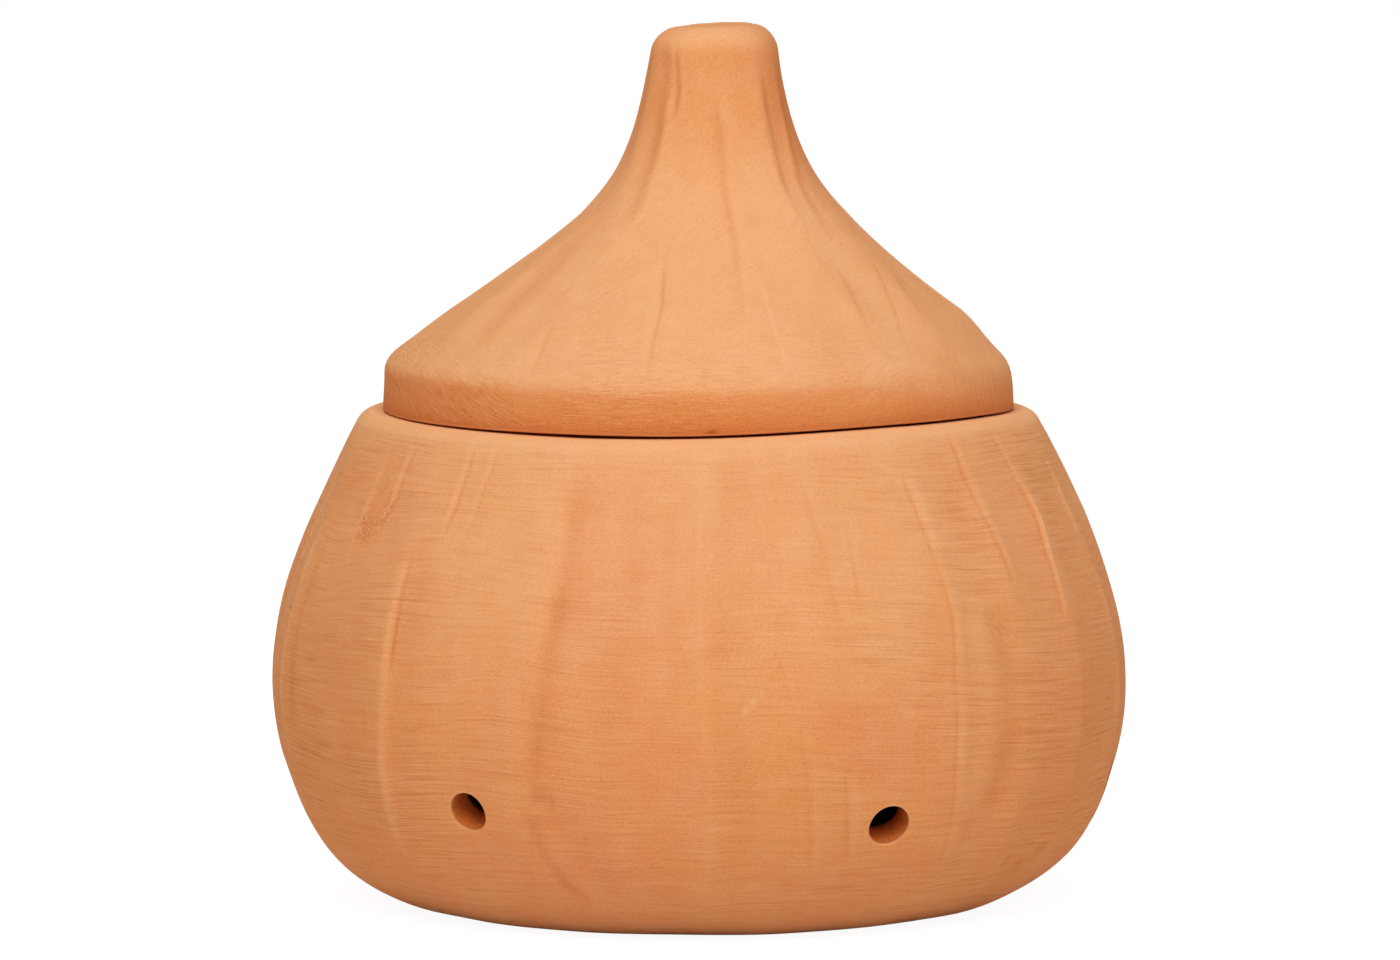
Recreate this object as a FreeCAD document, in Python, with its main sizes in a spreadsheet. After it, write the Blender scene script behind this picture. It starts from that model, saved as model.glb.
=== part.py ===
import FreeCAD, Part
import math
import os
import Sketcher
from FreeCAD import Placement, Rotation, Vector

# Garlic keeper: an unglazed clay pot shaped like a garlic bulb, with vent holes
# low in its wall, and a loose cone-shaped lid whose stem is the handle.
#
# Millimetres. +Z is up, the origin is at the centre of the foot on the surface
# that the pot stands on, and -Y is the front. Azimuths are in degrees from the
# front, positive towards +X.

doc = FreeCAD.newDocument("GarlicKeeper")

# ------------------------------------------------------------------ dimensions

SIZES = (
    # pot, outside
    ("foot_radius", 41, "flat ring that the pot stands on"),
    ("belly_radius", 70.1, "widest radius, over the ribs"),
    ("belly_height", 36, "height of the widest place"),
    ("rim_height", 81, "height of the seat for the lid"),
    ("flank_bend", 22.9, "softness of the bend from the belly into the flank"),
    ("rim_round", 3, "rounding of the rim's outer edge"),
    ("rib_depth", 0.6, "depth of the hollows between the ribs"),
    # pot, inside
    ("pot_wall", 6, "thickness of the wall at the belly"),
    ("pot_floor", 7, "thickness of the floor"),
    ("floor_corner", 18, "inner radius between the floor and the wall"),
    ("wall_flare", 5, "how much flatter than a circle the lower inner wall is"),
    ("mouth_radius", 47, "inner radius of the rim"),
    ("mouth_round", 1.5, "rounding of the rim's inner edge"),
    ("rim_width", 8.03, "from the mouth to where the flank meets the rim, unrounded"),
    # vents
    ("vent_diameter", 7.2, "bore of a vent"),
    ("vent_height", 21, "height of a vent on the outside of the wall"),
    ("vent_count", 6, "vents round the pot, evenly spaced"),
    ("vent_first", -33, "azimuth of the first vent"),
    # lid, outside
    ("seat_gap", 0, "clearance between the rim and the underside of the lid"),
    ("band_overlap", 4.9, "how far the upright band round the lid reaches past the mouth"),
    ("lid_rise", 62.8, "from the underside of the band to the top of the stem"),
    ("cone_reach", 11.6, "how far the straight cone, carried down to the underside, passes the band"),
    ("cone_slope", 1.49, "inward run of the cone for each unit of height"),
    ("shoulder_bend", 2.03, "softness of the bend from the band into the cone"),
    ("neck_bend", 8.64, "softness of the bend from the cone into the stem"),
    ("stem_radius", 8, "radius that the stem tapers to"),
    ("stem_taper", 0.08, "inward run of the stem for each unit of height"),
    ("stem_round", 4, "rounding of the stem's top edge"),
    ("stem_lean", 2.6, "sideways lean of the stem towards +X"),
    ("lean_start", 7, "height on the lid where the lean starts"),
    ("lean_end", 32, "height on the lid where the lean is full"),
    # lid, inside
    ("ring_clearance", 1.5, "play between the locating ring and the mouth"),
    ("ring_wall", 5, "thickness of the locating ring"),
    ("ring_depth", 8, "how far the locating ring hangs below the underside"),
    ("hollow_start", 8, "height above the underside where the hollow narrows"),
    ("roof_start", 36, "height above the underside of the foot of the domed roof"),
    ("roof_radius", 10, "radius of the hollow at the foot of the domed roof"),
)

# The ribs part the bulb into cloves. They are uneven, as shaped by hand.
POT_RIBS = [-158, -137, -114, -91, -74, -47, -22, -12, 1, 16, 37, 49, 62, 77, 91, 113, 134, 160, 181]
LID_RIBS = [-165, -128, -92, -64, -38, -11, 8, 36, 55, 88, 121, 158]

# The stem is slightly square, with one corner at this azimuth.
STEM_CORNER = 48
STEM_SQUARENESS = 0.035

sheet = doc.addObject("Spreadsheet::Sheet", "Sizes")
for row, (alias, value, meaning) in enumerate(SIZES, start=1):
    sheet.set(f"A{row}", meaning)
    sheet.set(f"B{row}", str(value))
    sheet.setAlias(f"B{row}", alias)
doc.recompute()


def size(alias):
    """Value of one cell of the sheet."""
    return float(sheet.get(alias))


# -------------------------------------------------------------------- outlines


def soft_min(first, second, bend):
    """Lower of two values, with a soft bend where they cross."""
    return (first + second) / 2 - math.hypot((first - second) / 2, bend)


def soft_max(first, second, bend):
    """Higher of two values, with a soft bend where they cross."""
    return (first + second) / 2 + math.hypot((first - second) / 2, bend)


def share(value, start, end):
    """0 up to start, 1 from end on, and straight between them."""
    return min(max((value - start) / (end - start), 0), 1)


def edge_inset(height, top, radius):
    """Inset of an outline at a height, where a quarter circle rounds its top edge."""
    rise = radius * share(height, top - radius, top)
    return radius - math.sqrt(radius**2 - rise**2)


def flank_slope():
    """Inward run of the upper flank for each unit of height, so that it ends at the rim."""
    bend = size("flank_bend")
    narrowing = size("belly_radius") - size("mouth_radius") - size("rim_width")
    return math.sqrt((narrowing + bend) ** 2 - bend**2) / (size("rim_height") - size("belly_height"))


def pot_radius(height):
    """Outer radius of the pot, over its ribs: a quarter ellipse, then the soft flank."""
    foot, belly, middle = size("foot_radius"), size("belly_radius"), size("belly_height")
    if height < middle:
        return foot + (belly - foot) * math.sqrt(1 - (1 - height / middle) ** 2)
    run = flank_slope() * (height - middle)
    flank = belly + size("flank_bend") + soft_min(run, -run, size("flank_bend"))
    return flank - edge_inset(height, size("rim_height"), size("rim_round"))


def lid_radius(rise):
    """Outer radius of the lid at a height above its underside: band, cone, stem."""
    band = size("mouth_radius") + size("band_overlap")
    cone = band + size("cone_reach") - size("cone_slope") * rise
    stem = size("stem_radius") + size("stem_taper") * (size("lid_rise") - rise)
    neck = soft_max(cone, stem, size("neck_bend"))
    outline = soft_min(band, neck, size("shoulder_bend"))
    return outline - edge_inset(rise, size("lid_rise"), size("stem_round"))


# ----------------------------------------------------------------- outer skins

STEPS_BETWEEN_RIBS = 4
EDGE_STEPS = 4


def around(radius, azimuth, height, centre=0.0):
    """The point at a radius and azimuth round an upright axis."""
    turn = math.radians(azimuth)
    return Vector(centre + radius * math.sin(turn), -radius * math.cos(turn), height)


def section(name, height, radius, ribs, hollow, centre=0.0, squareness=0.0):
    """A closed curve round the axis at one height, dished between its ribs."""
    points = []
    for rib, next_rib in zip(ribs, ribs[1:] + [ribs[0] + 360]):
        for step in range(STEPS_BETWEEN_RIBS):
            part = step / STEPS_BETWEEN_RIBS
            azimuth = rib + part * (next_rib - rib)
            corner = 1 + squareness * math.cos(math.radians(4 * (azimuth - STEM_CORNER)))
            dish = 4 * part * (1 - part) * hollow
            points.append(around(radius * corner - dish, azimuth, height, centre))
    curve = Part.BSplineCurve()
    curve.interpolate(Points=points, PeriodicFlag=True)
    ring = doc.addObject("Part::Feature", name)
    ring.Shape = Part.Wire([curve.toShape()])
    return ring


def skin(name, sections):
    """A smooth solid through the sections."""
    loft = doc.addObject("Part::Loft", name)
    loft.Sections = sections
    loft.Solid = True
    return loft


def evenly(low, high, steps):
    """Evenly spaced heights from low on, without high itself."""
    return [low + (high - low) * step / steps for step in range(steps)]


def quarter_turn(top, radius):
    """Heights that follow the rounding of a top edge, from its start to the top."""
    turns = [math.radians(90 * step / EDGE_STEPS) for step in range(EDGE_STEPS + 1)]
    return [top - radius + radius * math.sin(turn) for turn in turns]


def pot_skin():
    """The outside of the pot, filled solid."""
    middle, rim, edge = size("belly_height"), size("rim_height"), size("rim_round")
    lower = [middle * (1 - math.cos(math.radians(turn))) for turn in range(0, 90, 10)]
    heights = lower + evenly(middle, rim - edge, 5) + quarter_turn(rim, edge)
    sections = []
    for number, height in enumerate(heights):
        shown = share(height, 0, middle / 3) * share(rim - height, edge, 4 * edge)
        name = f"pot_section_{number}"
        sections.append(section(name, height, pot_radius(height), POT_RIBS, size("rib_depth") * shown))
    return skin("pot_skin", sections)


def lid_skin(underside):
    """The outside of the lid above its underside, filled solid."""
    top, edge, lean_start = size("lid_rise"), size("stem_round"), size("lean_start")
    rises = evenly(0, top - edge, 24) + quarter_turn(top, edge)
    sections = []
    for number, rise in enumerate(rises):
        shown = share(rise, lean_start, 2 * lean_start) * share(top - rise, edge, 4 * edge)
        lean = size("stem_lean") * share(rise, lean_start, size("lean_end"))
        square = STEM_SQUARENESS * share(rise, lean_start, size("lean_end"))
        name, height = f"lid_section_{number}", underside + rise
        hollow = size("rib_depth") * shown
        sections.append(section(name, height, lid_radius(rise), LID_RIBS, hollow, lean, square))
    return skin("lid_skin", sections)


# ------------------------------------------------------------ sketches, bodies

START, END, CENTRE = range(1, 4)
ORIGIN = (-1, START)
VERTICAL_AXIS = -2
UP = Vector(0, 0, 1)


def body_on(label, base):
    """A body that starts from a skin."""
    body = doc.addObject("PartDesign::Body", label)
    body.Label = label
    body.BaseFeature = base
    return body


def origin_feature(body, role):
    """One of the planes or axes of a body's own origin."""
    return next(item for item in body.Origin.OriginFeatures if item.Role == role)


def upright_sketch(body, name):
    """A sketch on the plane through the axis, with X as the radius and Y as the height."""
    sketch = body.newObject("Sketcher::SketchObject", name)
    sketch.AttachmentSupport = [(origin_feature(body, "XZ_Plane"), "")]
    sketch.MapMode = "FlatFace"
    return sketch


def arc(centre, start, end):
    """The arc round a centre, anticlockwise from start to end."""
    circle = Part.Circle(centre, UP, start.distanceToPoint(centre))
    return Part.ArcOfCircle(circle, circle.parameter(start), circle.parameter(end))


def dimensions(sketch, *named):
    """Named dimensions, driven by the sheet. Distances run from the origin to a point."""
    for name, kind, expression, *where in named:
        if kind != "Radius":
            where = [*ORIGIN, *where]
        value = float(sheet.evalExpression(expression))
        number = sketch.addConstraint(Sketcher.Constraint(kind, *where, value))
        sketch.renameConstraint(number, name)
        sketch.setExpression(f"Constraints.{name}", expression)


def rules(sketch, *constraints):
    """Constraints without a value, each written as its kind and its places."""
    for constraint in constraints:
        sketch.addConstraint(Sketcher.Constraint(*constraint))


def turned_out(body, sketch, name):
    """Cut what a sketch sweeps when it turns about the upright axis."""
    groove = body.newObject("PartDesign::Groove", name)
    groove.Profile = sketch
    groove.ReferenceAxis = (sketch, ["V_Axis"])
    groove.Angle = 360
    return groove


# ------------------------------------------------------------------------- pot


def pot_inside(body):
    """Hollow the pot: flat floor, rounded corner, wall, and a mouth with a rounded edge."""
    wall, middle = size("belly_radius") - size("pot_wall"), size("belly_height")
    floor, corner = size("pot_floor"), size("floor_corner")
    mouth, edge, rim = size("mouth_radius"), size("mouth_round"), size("rim_height")

    widest = Vector(wall, middle, 0)
    throat = Vector(mouth, rim - edge, 0)
    lower = middle - floor + size("wall_flare")
    lower_centre = widest - Vector(lower, 0, 0)
    drop = middle - floor - corner
    corner_centre = lower_centre + Vector(math.sqrt((lower - corner) ** 2 - drop**2), -drop, 0)
    meeting = lower_centre + (corner_centre - lower_centre).normalize() * lower
    inset, climb = wall - mouth, throat.y - middle
    upper_centre = widest - Vector((inset**2 + climb**2) / (2 * inset), 0, 0)
    corner_foot = corner_centre - Vector(0, corner, 0)
    lip_centre, lip = throat + Vector(edge, 0, 0), throat + Vector(edge, edge, 0)
    lip_top, axis_top, axis_foot = lip + Vector(0, edge, 0), Vector(0, rim + edge, 0), Vector(0, floor, 0)

    sketch = upright_sketch(body, "pot_inside_outline")
    lines_and_arcs = sketch.addGeometry([
        Part.LineSegment(axis_foot, corner_foot),
        arc(corner_centre, corner_foot, meeting),
        arc(lower_centre, meeting, widest),
        arc(upper_centre, widest, throat),
        arc(lip_centre, lip, throat),
        Part.LineSegment(lip, lip_top),
        Part.LineSegment(lip_top, axis_top),
        Part.LineSegment(axis_top, axis_foot),
    ])
    floor_line, corner_arc, lower_arc, upper_arc, lip_arc, lip_line, top_line, axis_line = lines_and_arcs
    rules(
        sketch,
        ("Tangent", floor_line, END, corner_arc, START),
        ("Tangent", corner_arc, END, lower_arc, START),
        ("Tangent", lower_arc, END, upper_arc, START),
        ("Coincident", upper_arc, END, lip_arc, END),
        ("Coincident", lip_arc, START, lip_line, START),
        ("Coincident", lip_line, END, top_line, START),
        ("Coincident", top_line, END, axis_line, START),
        ("Coincident", axis_line, END, floor_line, START),
        ("Horizontal", floor_line),
        ("Horizontal", top_line),
        ("Vertical", lip_line),
        ("PointOnObject", axis_line, START, VERTICAL_AXIS),
        ("PointOnObject", axis_line, END, VERTICAL_AXIS),
        ("Horizontal", lower_arc, CENTRE, lower_arc, END),
        ("Horizontal", lip_arc, CENTRE, lip_arc, END),
        ("Vertical", lip_arc, CENTRE, lip_arc, START),
    )
    dimensions(
        sketch,
        ("floor", "DistanceY", "Sizes.pot_floor", floor_line, START),
        ("corner", "Radius", "Sizes.floor_corner", corner_arc),
        ("lower_wall", "Radius", "Sizes.belly_height - Sizes.pot_floor + Sizes.wall_flare", lower_arc),
        ("widest_height", "DistanceY", "Sizes.belly_height", lower_arc, END),
        ("widest", "DistanceX", "Sizes.belly_radius - Sizes.pot_wall", lower_arc, END),
        ("mouth", "DistanceX", "Sizes.mouth_radius", upper_arc, END),
        ("throat", "DistanceY", "Sizes.rim_height - Sizes.mouth_round", upper_arc, END),
        ("lip", "Radius", "Sizes.mouth_round", lip_arc),
        ("top", "DistanceY", "Sizes.rim_height + Sizes.mouth_round", top_line, END),
    )
    return turned_out(body, sketch, "pot_inside")


def vents(body):
    """Bore one vent square to the wall, and repeat it round the pot."""
    height, wall, bore = size("vent_height"), size("pot_wall"), size("vent_diameter")
    slope = (pot_radius(height + bore / 2) - pot_radius(height - bore / 2)) / bore
    inward = Rotation(UP, size("vent_first")) * Rotation(Vector(1, 0, 0), math.degrees(math.atan(slope)) - 90)
    mouth = around(pot_radius(height), size("vent_first"), height)

    vent = body.newObject("PartDesign::SubtractiveCylinder", "vent")
    vent.setExpression("Radius", "Sizes.vent_diameter / 2")
    vent.setExpression("Height", "Sizes.pot_wall * 4")
    vent.Placement = Placement(mouth - inward.multVec(UP) * wall, inward)

    around_pot = body.newObject("PartDesign::PolarPattern", "vents")
    around_pot.Originals = [vent]
    around_pot.Axis = (origin_feature(body, "Z_Axis"), [""])
    around_pot.Angle = 360
    around_pot.setExpression("Occurrences", "Sizes.vent_count")
    body.Tip = around_pot


def make_pot():
    """The pot: its skin, hollowed out and bored."""
    pot = body_on("pot", pot_skin())
    pot_inside(pot)
    vents(pot)
    return pot


# ------------------------------------------------------------------------- lid


def locating_ring(body):
    """The plug under the lid that becomes its locating ring once the inside is cut."""
    plug = body.newObject("PartDesign::AdditiveCylinder", "locating_ring")
    plug.setExpression("Radius", "Sizes.mouth_radius - Sizes.ring_clearance")
    plug.setExpression("Height", "Sizes.ring_depth + Sizes.hollow_start / 2")
    plug.setExpression("Placement.Base.z", "Sizes.rim_height + Sizes.seat_gap - Sizes.ring_depth")


def lid_inside(body, underside):
    """Hollow the lid: straight through the ring, a cone under the cone, and a domed roof."""
    inner = size("mouth_radius") - size("ring_clearance") - size("ring_wall")
    narrow = Vector(inner, underside + size("hollow_start"), 0)
    roof_foot = Vector(size("roof_radius"), underside + size("roof_start"), 0)
    bottom = Vector(inner, underside - 2 * size("ring_depth"), 0)
    along = (roof_foot - narrow).normalize()
    roof_centre = Vector(0, roof_foot.y + roof_foot.x * along.x / along.y, 0)
    roof_top = roof_centre + Vector(0, roof_foot.distanceToPoint(roof_centre), 0)
    axis_foot = Vector(0, bottom.y, 0)

    sketch = upright_sketch(body, "lid_inside_outline")
    bottom_line, ring_line, cone_line, roof_arc, axis_line = sketch.addGeometry([
        Part.LineSegment(axis_foot, bottom),
        Part.LineSegment(bottom, narrow),
        Part.LineSegment(narrow, roof_foot),
        arc(roof_centre, roof_foot, roof_top),
        Part.LineSegment(roof_top, axis_foot),
    ])
    rules(
        sketch,
        ("Coincident", bottom_line, END, ring_line, START),
        ("Coincident", ring_line, END, cone_line, START),
        ("Tangent", cone_line, END, roof_arc, START),
        ("Coincident", roof_arc, END, axis_line, START),
        ("Coincident", axis_line, END, bottom_line, START),
        ("Horizontal", bottom_line),
        ("Vertical", ring_line),
        ("PointOnObject", axis_line, START, VERTICAL_AXIS),
        ("PointOnObject", axis_line, END, VERTICAL_AXIS),
        ("PointOnObject", roof_arc, CENTRE, VERTICAL_AXIS),
    )
    level = "Sizes.rim_height + Sizes.seat_gap"
    ring = "Sizes.mouth_radius - Sizes.ring_clearance - Sizes.ring_wall"
    dimensions(
        sketch,
        ("bottom", "DistanceY", f"{level} - 2 * Sizes.ring_depth", bottom_line, START),
        ("ring", "DistanceX", ring, ring_line, END),
        ("narrow", "DistanceY", f"{level} + Sizes.hollow_start", ring_line, END),
        ("roof_foot", "DistanceY", f"{level} + Sizes.roof_start", cone_line, END),
        ("roof", "DistanceX", "Sizes.roof_radius", cone_line, END),
    )
    return turned_out(body, sketch, "lid_inside")


def make_lid():
    """The lid: its skin with the locating ring under it, hollowed out."""
    underside = size("rim_height") + size("seat_gap")
    lid = body_on("lid", lid_skin(underside))
    locating_ring(lid)
    lid_inside(lid, underside)
    return lid


# ----------------------------------------------------------------------- write

sub_parts = [make_pot(), make_lid()]
doc.recompute()

for item in doc.Objects:
    if "Invalid" in item.State or "Error" in item.State:
        raise RuntimeError(f"{item.Label} failed: {item.State}")
for item in sub_parts:
    if item.Shape.isNull() or not item.Shape.isValid() or len(item.Shape.Solids) != 1:
        raise RuntimeError(f"{item.Label} is not one valid solid")

os.makedirs("parts", exist_ok=True)
for item in sub_parts:
    item.Shape.exportStep(f"parts/{item.Label}.step")
    print(item.Label, "volume", round(item.Shape.Volume), item.Shape.BoundBox)
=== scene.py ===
"""Garlic keeper: a ribbed clay pot with vents low in its wall, under a cone-shaped lid.

Sizes are in millimetres and become metres where a mesh is made. +Z is up, the origin
is at the centre of the foot, and -Y is the front. Azimuths are in degrees from the
front, positive towards +X. A run is the length along an outline, from its start.
"""

import logging
import math
from dataclasses import dataclass, field
from enum import Enum

import bpy
import numpy as np
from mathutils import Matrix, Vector


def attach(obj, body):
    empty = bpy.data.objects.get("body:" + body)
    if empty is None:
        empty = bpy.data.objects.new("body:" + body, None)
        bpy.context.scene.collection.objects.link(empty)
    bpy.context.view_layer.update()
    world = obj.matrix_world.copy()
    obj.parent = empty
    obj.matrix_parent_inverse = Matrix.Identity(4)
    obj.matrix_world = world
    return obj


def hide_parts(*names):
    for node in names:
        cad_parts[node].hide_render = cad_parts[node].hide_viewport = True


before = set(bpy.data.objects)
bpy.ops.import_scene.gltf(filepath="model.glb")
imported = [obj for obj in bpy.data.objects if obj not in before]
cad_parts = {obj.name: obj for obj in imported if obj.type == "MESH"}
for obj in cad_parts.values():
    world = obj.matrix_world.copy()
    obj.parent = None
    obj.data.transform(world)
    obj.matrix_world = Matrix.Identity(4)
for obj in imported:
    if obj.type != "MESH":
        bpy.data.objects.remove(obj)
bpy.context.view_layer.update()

LOG = logging.getLogger("garlic_keeper")

MM = 0.001
HALF_TURN = 180.0
BACK_START = 80.0
SETTLING_STEPS = 12
SETTLING_SHARE = 0.9


# ---------------------------------------------------------------- small helpers


def share(value: np.ndarray, start: float, end: float) -> np.ndarray:
    """0 up to start, 1 from end on, and straight between them."""
    return np.clip((np.asarray(value, float) - start) / (end - start), 0, 1)


def smooth(value: np.ndarray, start: float, end: float) -> np.ndarray:
    """As share, with soft ends."""
    part = share(value, start, end)
    return part * part * (3 - 2 * part)


def soft_min(first: np.ndarray, second: np.ndarray, bend: float) -> np.ndarray:
    """Lower of two values, with a soft bend where they cross."""
    return (first + second) / 2 - np.hypot((first - second) / 2, bend)


def soft_max(first: np.ndarray, second: np.ndarray, bend: float) -> np.ndarray:
    """Higher of two values, with a soft bend where they cross."""
    return (first + second) / 2 + np.hypot((first - second) / 2, bend)


def edge_inset(height: np.ndarray, top: float, radius: float) -> np.ndarray:
    """Inset of an outline at a height, where a quarter circle rounds its top edge."""
    rise = radius * share(height, top - radius, top)
    return radius - np.sqrt(radius**2 - rise**2)


def wrapped(azimuth: np.ndarray) -> np.ndarray:
    """Azimuths brought to the span from -180 to 180."""
    return (np.asarray(azimuth, float) + HALF_TURN) % (2 * HALF_TURN) - HALF_TURN


def arc_points(
    centre: tuple[float, float], start: float, end: float, radius: float, count: int = 40
) -> list[tuple[float, float]]:
    """Points of an arc in the plane of radius and height.

    Args:
        centre: radius and height of the centre.
        start: angle of the first point, in degrees from the outward direction.
        end: angle of the last point.
        radius: radius of the arc.
        count: how many steps the arc takes.

    Returns:
        The points, from start to end.
    """
    turns = np.radians(np.linspace(start, end, count + 1))
    return [(centre[0] + radius * math.cos(t), centre[1] + radius * math.sin(t)) for t in turns]


@dataclass(frozen=True)
class Spots:
    """Spots on a turned surface: the azimuth and run of each, and its radius and height."""

    azimuth: np.ndarray
    run: np.ndarray
    radius: np.ndarray
    height: np.ndarray

    def arc_from(self, azimuth: float | np.ndarray) -> np.ndarray:
        """Way round to each spot from an azimuth, in millimetres, positive to the right."""
        return np.radians(wrapped(self.azimuth - azimuth)) * self.radius


@dataclass
class Waviness:
    """Slow, uneven waves over a surface, the same all the way round."""

    seed: int
    waves: int = 18
    most_turns: int = 14
    longest: float = 90.0
    shortest: float = 18.0

    def __post_init__(self) -> None:
        """Draw the waves once."""
        draw = np.random.default_rng(self.seed)
        self.turns = draw.integers(0, self.most_turns + 1, self.waves)
        self.rates = 2 * math.pi / draw.uniform(self.shortest, self.longest, self.waves)
        self.rates *= draw.choice([-1, 1], self.waves)
        self.phases = draw.uniform(0, 2 * math.pi, self.waves)

    def at(self, spots: Spots) -> np.ndarray:
        """Height of the waves, mostly between -1 and 1.

        Args:
            spots: the spots.

        Returns:
            The waves' height at each spot.
        """
        angle = np.radians(spots.azimuth)
        total = np.zeros(len(angle))
        for turns, rate, phase in zip(self.turns, self.rates, self.phases):
            total += np.cos(turns * angle + rate * spots.run + phase)
        return total / math.sqrt(self.waves) * 0.8


# ---------------------------------------------------------------------- outlines


@dataclass
class Outline:
    """A closed profile of radius and height, which turns about the upright axis."""

    points: list[tuple[float, float]]
    step: float = 0.1

    def __post_init__(self) -> None:
        """Lay evenly spaced points along the profile."""
        corners = np.array(self.points)
        lengths = np.hypot(*np.diff(corners, axis=0).T)
        keep = np.r_[True, lengths > 1e-9]
        corners = corners[keep]
        self.corner_runs = np.r_[0, np.cumsum(np.hypot(*np.diff(corners, axis=0).T))]
        count = int(self.corner_runs[-1] / self.step)
        self.runs = np.unique(np.r_[np.linspace(0, self.corner_runs[-1], count), self.corner_runs])
        self.radii = np.interp(self.runs, self.corner_runs, corners[:, 0])
        self.heights = np.interp(self.runs, self.corner_runs, corners[:, 1])

    def radius(self, run: np.ndarray) -> np.ndarray:
        """Radius at each run."""
        return np.interp(run, self.runs, self.radii)

    def height(self, run: np.ndarray) -> np.ndarray:
        """Height at each run."""
        return np.interp(run, self.runs, self.heights)

    def spots(self, azimuth: np.ndarray, run: np.ndarray) -> Spots:
        """Spots at each azimuth and run of the turned outline."""
        return Spots(azimuth, run, self.radius(run), self.height(run))

    def normal(self, run: np.ndarray, reach: float = 0.4) -> tuple[np.ndarray, np.ndarray]:
        """Outward direction at each run, as its radial and upright shares.

        Args:
            run: the runs.
            reach: how far to either side the slope is taken.

        Returns:
            The radial share and the upright share at each run.
        """
        along = self.radius(run + reach) - self.radius(run - reach)
        up = self.height(run + reach) - self.height(run - reach)
        length = np.maximum(np.hypot(along, up), 1e-9)
        return up / length, -along / length

    def run_at(self, height: float, low: float, high: float) -> float:
        """Run between low and high where the profile passes a height.

        Args:
            height: the height.
            low: start of the stretch to search.
            high: end of the stretch.

        Returns:
            The run nearest to that height.
        """
        inside = (self.runs >= low) & (self.runs <= high)
        nearest = np.argmin(np.abs(self.heights[inside] - height))
        return float(self.runs[inside][nearest])


# ------------------------------------------------------------------ marks in clay


class Cut(Enum):
    """How a tool or a thumb left the clay along a mark."""

    RIDGE = "ridge"
    CREASE = "crease"
    STEP = "step"
    ROUGH = "rough"


@dataclass(frozen=True)
class Mark:
    """A stroke that runs up or down a turned surface.

    A ridge stands proud and is rubbed pale, a paleness that also serves as a painted highlight,
    a crease is sunk and darkened as painted shade, a step stands proud on its left and sinks on
    its right, with a painted highlight and painted shade beside it, and a rough mark is torn and
    deeper in colour.
    """

    cut: Cut
    path: tuple[tuple[float, float], ...]
    width: float = 1.0
    depth: float = 0.2
    tone: float = 0.5
    shift: float = 0.0
    fade: float = 7.0

    def across(self, spots: Spots) -> np.ndarray:
        """Distance from the stroke's line, in its own widths, positive to the right.

        Args:
            spots: the spots.

        Returns:
            The distance of each spot.
        """
        places = sorted((z, a) for a, z in self.path)
        heights = [z for z, _ in places]
        line = np.interp(spots.height, heights, [a for _, a in places])
        wander = 0.08 * np.sin(spots.height * 0.47 + self.path[0][0]) + 0.05 * np.sin(spots.height * 1.1)
        return (spots.arc_from(line) - self.shift - wander) / self.width

    def presence(self, spots: Spots) -> np.ndarray:
        """How much of the stroke is left at each height: it fades out at both ends.

        Args:
            spots: the spots.

        Returns:
            The share that is left at each spot, from 0 to 1.
        """
        height, heights = spots.height, [z for _, z in self.path]
        low, high = min(heights), max(heights)
        fade = min(self.fade, 0.45 * (high - low))
        ends = smooth(height, low, low + fade) * (1 - smooth(height, high - fade, high))
        return ends * (0.8 + 0.2 * np.sin(height * 0.33 + 5 * self.path[0][0]))

    def relief(self, spots: Spots) -> np.ndarray:
        """How far the stroke moves the surface outwards.

        Args:
            spots: the spots.

        Returns:
            The move outwards at each spot.
        """
        x = self.across(spots)
        bell = np.exp(-x * x)
        if self.cut is Cut.STEP:
            shape = -x * np.exp((1 - x * x) / 2)
        elif self.cut is Cut.RIDGE:
            shape = bell
        elif self.cut is Cut.CREASE:
            shape = -bell
        else:
            uneven = np.sin(spots.height * 2.9 + x) * np.sin(spots.height * 1.7)
            shape = -bell * (0.6 + 0.4 * uneven)
        return self.depth * shape * self.presence(spots)

    def colour(self, spots: Spots) -> np.ndarray:
        """How much paler (positive) or darker (negative) the clay is along the stroke: a painted highlight
        on ridges and proud sides, painted shade in creases and on sunk sides.

        Args:
            spots: the spots.

        Returns:
            The change of tone at each spot.
        """
        x = self.across(spots)
        if self.cut is Cut.STEP:
            shape = np.exp(-((x + 0.7) ** 2)) - np.exp(-((x - 0.7) ** 2))
        elif self.cut is Cut.RIDGE:
            shape = np.exp(-1.2 * x * x)
        elif self.cut is Cut.CREASE:
            shape = -np.exp(-1.6 * x * x)
        else:
            shape = 0 * x
        return self.tone * shape * self.presence(spots)

    def grit(self, spots: Spots) -> np.ndarray:
        """How torn the clay is along the stroke, from 0 to 1.

        Args:
            spots: the spots.

        Returns:
            The torn share at each spot.
        """
        if self.cut is not Cut.ROUGH:
            return np.zeros(len(spots.height))
        x = self.across(spots)
        return np.exp(-x * x) * self.presence(spots)


@dataclass(frozen=True)
class Dent:
    """A round, shallow dent or bump on a turned surface, or a stain where it has no depth."""

    azimuth: float
    height: float
    across: float
    tall: float
    depth: float = 0.0
    tone: float = 0.0
    bare: float = 0.0

    def shape(self, spots: Spots) -> np.ndarray:
        """1 in the middle, fading out around it.

        Args:
            spots: the spots.

        Returns:
            The dent's share at each spot.
        """
        x = spots.arc_from(self.azimuth) / self.across
        y = (spots.height - self.height) / self.tall
        return np.exp(-x * x - y * y)


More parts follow.
